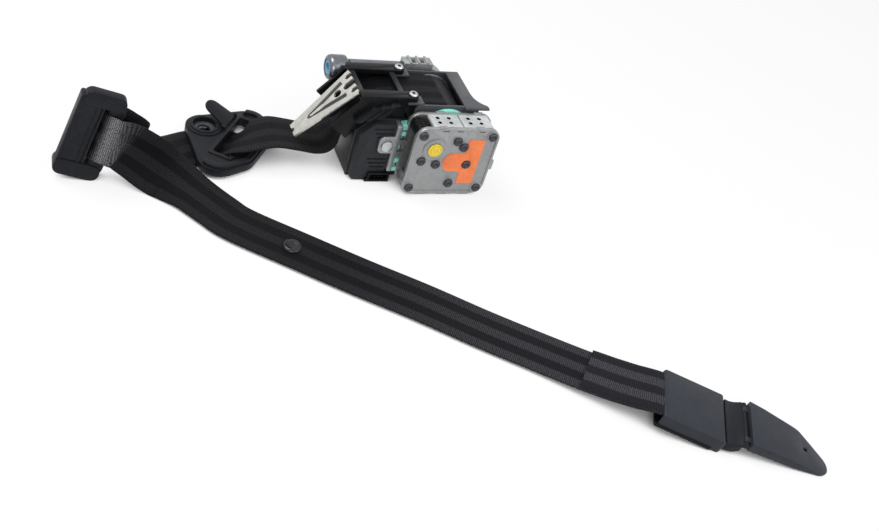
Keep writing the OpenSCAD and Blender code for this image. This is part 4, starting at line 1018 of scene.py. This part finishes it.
class RETRACTOR_OT_mouldings(Operator):
    """Round and finish the plastic pieces of the retractor and the belt fittings"""

    bl_idname = "retractor.mouldings"
    bl_label = "Mouldings"

    def execute(self, context):
        tones = context.scene.retractor_mouldings
        fitting = moulded(tones, "Fitting Black")
        for name in ("tongue_grip", "loop_cover", "loop_flap"):
            softened(name, fitting)
        added("tongue_slot_ledge", rounded_bar(*SLOT_SHADE_BAR, tongue_point), fitting, "tongue_grip")
        button = moulded(tones, "Button Black")
        turned("stop_button", BUTTON_PROFILE, [model_point(BUTTON_AT)], UPWARDS, button, steps=40)
        anchor = moulded(tones, "Anchor Blue Black")
        shade_black = moulded(tones, "Under Flange")
        # The sleeve's foot is painted darker as painted shade
        recoated(softened("anchor_sleeve", anchor), shade_black, under_flange)
        # The neck's darker black is painted shade
        softened("anchor_neck", moulded(tones, "Neck Black"))
        softened("anchor_cap", anchor)
        added("web_dust_shield", rounded_bar(*GAP_SHADE_BAR, retractor_point), shade_black, "belt_guide")
        added("cap_clip_socket", rounded_bar(*CAP_HOLE_SHADE_BAR, anchor_point), shade_black, "anchor_cap")
        housing = moulded(tones, "Housing Black")
        for name in (
            "control_case",
            "connector_shroud",
            "belt_guide",
            "spring_cover",
            "sensor_housing",
            "ribbed_grommet",
        ):
            softened(name, housing)
        softened("control_cover", moulded(tones, "Cover Black"))
        softened("clutch_housing", moulded(tones, "Mint"))
        yellow = moulded(tones, "Yellow")
        turned("bearing_cap", CAP_PROFILE, [retractor_point(*BEARING_CAP_AT)], TO_FRONT, yellow, steps=48)
        softened("igniter_socket", moulded(tones, "Blue"))
        blocks = softened("spacer_blocks", moulded(tones, "Pale Grey"), reshape=widen_holes)
        # The block holes' inner walls take the black housing finish as painted shade
        recoated(blocks, housing, in_shaded_block_hole)
        softened("blank_label", moulded(tones, "Orange Film"), segments=1)
        nylon = moulded(tones, "Nylon")
        for name in ("shaft_bushes", "spring_arbor", "sensor_lever", "idler_gear"):
            dress(name, nylon)
        dress("webbing_roll", moulding("Wound Webbing", context.scene.retractor_belt.yarn, **WOUND))
        return {"FINISHED"}


class RETRACTOR_OT_metals(Operator):
    """Round and finish the metal pieces"""

    bl_idname = "retractor.metals"
    bl_label = "Metals"

    def execute(self, context):
        tones = context.scene.retractor_metals
        plate = plated(tones, "Plate Metal")
        for name in ("gear_front_plate", "gear_back_plate", "box_bracket"):
            softened(name, plate)
        dark = plated(tones, "Dark Rivet")
        for name, places, face in (
            ("corner_rivets", RIVETS, RIVET_FACE),
            ("axle_heads", AXLES, FRONT_FACE),
            ("idler_axle", IDLER, FRONT_FACE),
        ):
            feet = [retractor_point(across, face, height) for across, height in places]
            turned(name, HEAD_PROFILE, feet, TO_FRONT, dark, steps=32)
        zinc = plated(tones, "Bright Zinc")
        softened("mounting_leg", zinc)
        groove = plated(tones, "Groove Black")
        # A dark plate in the leg's groove: painted shade
        added("leg_groove_floor", leg_plate(LEG_GROOVE, *GROOVE_DEPTHS), groove, "mounting_leg")
        added("leg_groove_ridge", leg_plate(LEG_RIDGE, *RIDGE_DEPTHS), zinc, "mounting_leg")
        coat = plated(tones, "Black Coat")
        softened("frame", coat)
        softened("loop_plate", coat)
        tube = plated(tones, "Generator Steel")
        softened("generator_tube", tube)
        foot = retractor_point(*GENERATOR_CAP_AT)
        turned("generator_cap", GENERATOR_PROFILE, [foot], TO_LEFT, tube, steps=56)
        softened("rear_casting", plated(tones, "Cast Alloy"))
        steel = plated(tones, "Bright Steel")
        for name in ("knurled_pin", "tongue_plate", "anchor_plate"):
            softened(name, steel)
        # The screw recesses take the dark rivet finish as painted shade
        recoated(softened("guide_screws", steel), dark, in_shaded_screw_recess)
        for name in (
            "torsion_bar",
            "clutch_hub",
            "lock_ratchet",
            "lock_pawl",
            "pawl_pin",
            "motor_shaft",
            "motor_can",
            "sensor_ball",
            "mainspring",
        ):
            dress(name, steel)
        dress("spool", plated(tones, "Spool Alloy"))
        brass = plated(tones, "Gear Brass")
        for name in ("motor_pinion", "drive_wheel"):
            dress(name, brass)
        # The connector pins are painted dark, as painted shade inside the shroud
        dress("connector_pins", plated(tones, "Dull Tin"))
        return {"FINISHED"}


# The stage, in metres and watts

WHITE = (1.0, 1.0, 1.0, 1.0)
FLOOR_REACH = 4.0
# Share of the floor's look that is its own glow, and how near a piece dims that glow with painted shade
FLOOR_GLOW = 0.8
GAP_REACH = 0.05
# Strength of the surroundings as a light
ROOM_LIGHT = 0.42
# Lamps: name, place, point aimed at, size and power
LAMPS = (
    ("key", (-0.6, 0.5, 1.4), (0.0, 0.05, 0.0), 0.9, 16.0),
    ("fill", (0.9, -0.9, 1.1), (0.05, 0.0, 0.0), 1.2, 10.0),
    ("front", (-0.5, -1.2, 0.8), (0.0, 0.1, 0.03), 0.8, 7.0),
)
# The camera's sensor, in millimetres, and the nearest thing that it sees
SENSOR_WIDTH = 36.0
NEAREST = 0.01


def viewed(tree):
    """One for rays that reach the eye straight, by reflection or through a clear piece."""
    path = node(tree, "ShaderNodeLightPath").outputs
    mirrored = maths(tree, "MAXIMUM", path["Is Glossy Ray"], path["Is Transmission Ray"])
    return maths(tree, "MAXIMUM", path["Is Camera Ray"], mirrored)


def floor_finish(tone):
    """Pale floor that glows for the eye, dimmed by painted shade in narrow gaps"""
    material, tree, shader = finish_start("Pale Floor")
    shader["Base Color"].default_value = tone
    shader["Roughness"].default_value = 0.9
    shader["Specular IOR Level"].default_value = 0.1
    glow = node(tree, "ShaderNodeEmission")
    glow.inputs["Color"].default_value = WHITE
    gap = node(tree, "ShaderNodeAmbientOcclusion")
    gap.inputs["Distance"].default_value = GAP_REACH
    open_floor = ramp(tree, gap.outputs["AO"], 0.15, 0.55)
    blend = node(tree, "ShaderNodeMixShader")
    tree.links.new(times(tree, times(tree, viewed(tree), FLOOR_GLOW), open_floor), blend.inputs[0])
    tree.links.new(tree.nodes["Principled BSDF"].outputs[0], blend.inputs[1])
    tree.links.new(glow.outputs[0], blend.inputs[2])
    tree.links.new(blend.outputs[0], tree.nodes["Material Output"].inputs["Surface"])
    return material


def area_lamp(name, place, aim, size, power):
    lamp = bpy.data.lights.new(name, "AREA")
    lamp.shape = "DISK"
    lamp.size = size
    lamp.energy = power
    holder = bpy.data.objects.new(name, lamp)
    bpy.context.scene.collection.objects.link(holder)
    holder.location = place
    holder.rotation_euler = (Vector(aim) - Vector(place)).to_track_quat("-Z", "Y").to_euler()


def white_room(scene):
    """Surroundings that look white and light the part softly"""
    world = bpy.data.worlds.new("Soft Studio")
    world.use_nodes = True
    scene.world = world
    tree = world.node_tree
    back = tree.nodes["Background"].inputs
    back["Color"].default_value = WHITE
    tree.links.new(maths(tree, "MAXIMUM", viewed(tree), ROOM_LIGHT), back["Strength"])


def picture_camera(scene, stage):
    """A camera fitted to the photo, leaned by its roll"""
    lens = bpy.data.cameras.new("picture")
    lens.lens = stage.lens
    lens.sensor_width = SENSOR_WIDTH
    lens.clip_start = NEAREST
    eye = Vector(stage.eye)
    look = (Vector(stage.aim) - eye).normalized()
    level = look.cross(UPWARDS).normalized()
    rise = level.cross(look)
    right = level * math.cos(stage.roll) + rise * math.sin(stage.roll)
    top = rise * math.cos(stage.roll) - level * math.sin(stage.roll)
    turn = Matrix((right, top, -look)).transposed().to_4x4()
    camera = bpy.data.objects.new("picture", lens)
    camera.matrix_world = Matrix.Translation(eye) @ turn
    scene.collection.objects.link(camera)
    scene.camera = camera


class RETRACTOR_OT_stage(Operator):
    """Set the pale floor, the soft lamps and the camera of the picture"""

    bl_idname = "retractor.stage"
    bl_label = "Stage"

    def execute(self, context):
        scene = context.scene
        stage = scene.retractor_stage
        scene.view_settings.view_transform = "Standard"
        shape = bmesh.new()
        bmesh.ops.create_grid(shape, x_segments=2, y_segments=2, size=FLOOR_REACH)
        floor = show("floor", shape, floor_finish(stage.floor))
        white_room(scene)
        for lamp in LAMPS:
            area_lamp(*lamp)
        picture_camera(scene, stage)
        return {"FINISHED"}


class RETRACTOR_PT_panel(Panel):
    """Lists the steps that dress the retractor"""

    bl_idname = "RETRACTOR_PT_panel"
    bl_label = "Seat Belt Retractor"
    bl_space_type = "VIEW_3D"
    bl_region_type = "UI"
    bl_category = "Retractor"

    def draw(self, context):
        for step in STEPS:
            self.layout.operator(step.bl_idname)
        for group in ("retractor_belt", "retractor_mouldings", "retractor_metals", "retractor_stage"):
            box = self.layout.box()
            owner = getattr(context.scene, group)
            for key in owner.__annotations__:
                box.prop(owner, key)


STEPS = (RETRACTOR_OT_stage, RETRACTOR_OT_belt, RETRACTOR_OT_mouldings, RETRACTOR_OT_metals)
GROUPS = (
    ("retractor_belt", BeltSettings),
    ("retractor_mouldings", MouldingSettings),
    ("retractor_metals", MetalSettings),
    ("retractor_stage", StageSettings),
)


def register():
    for name, group in GROUPS:
        bpy.utils.register_class(group)
        setattr(bpy.types.Scene, name, PointerProperty(type=group))
    for item in STEPS + (RETRACTOR_PT_panel,):
        bpy.utils.register_class(item)


def unregister():
    for item in (RETRACTOR_PT_panel,) + STEPS[::-1]:
        bpy.utils.unregister_class(item)
    for name, group in GROUPS[::-1]:
        delattr(bpy.types.Scene, name)
        bpy.utils.unregister_class(group)


def main():
    register()
    bpy.ops.retractor.stage()
    bpy.ops.retractor.belt()
    bpy.ops.retractor.mouldings()
    bpy.ops.retractor.metals()


if __name__ == "__main__":
    main()
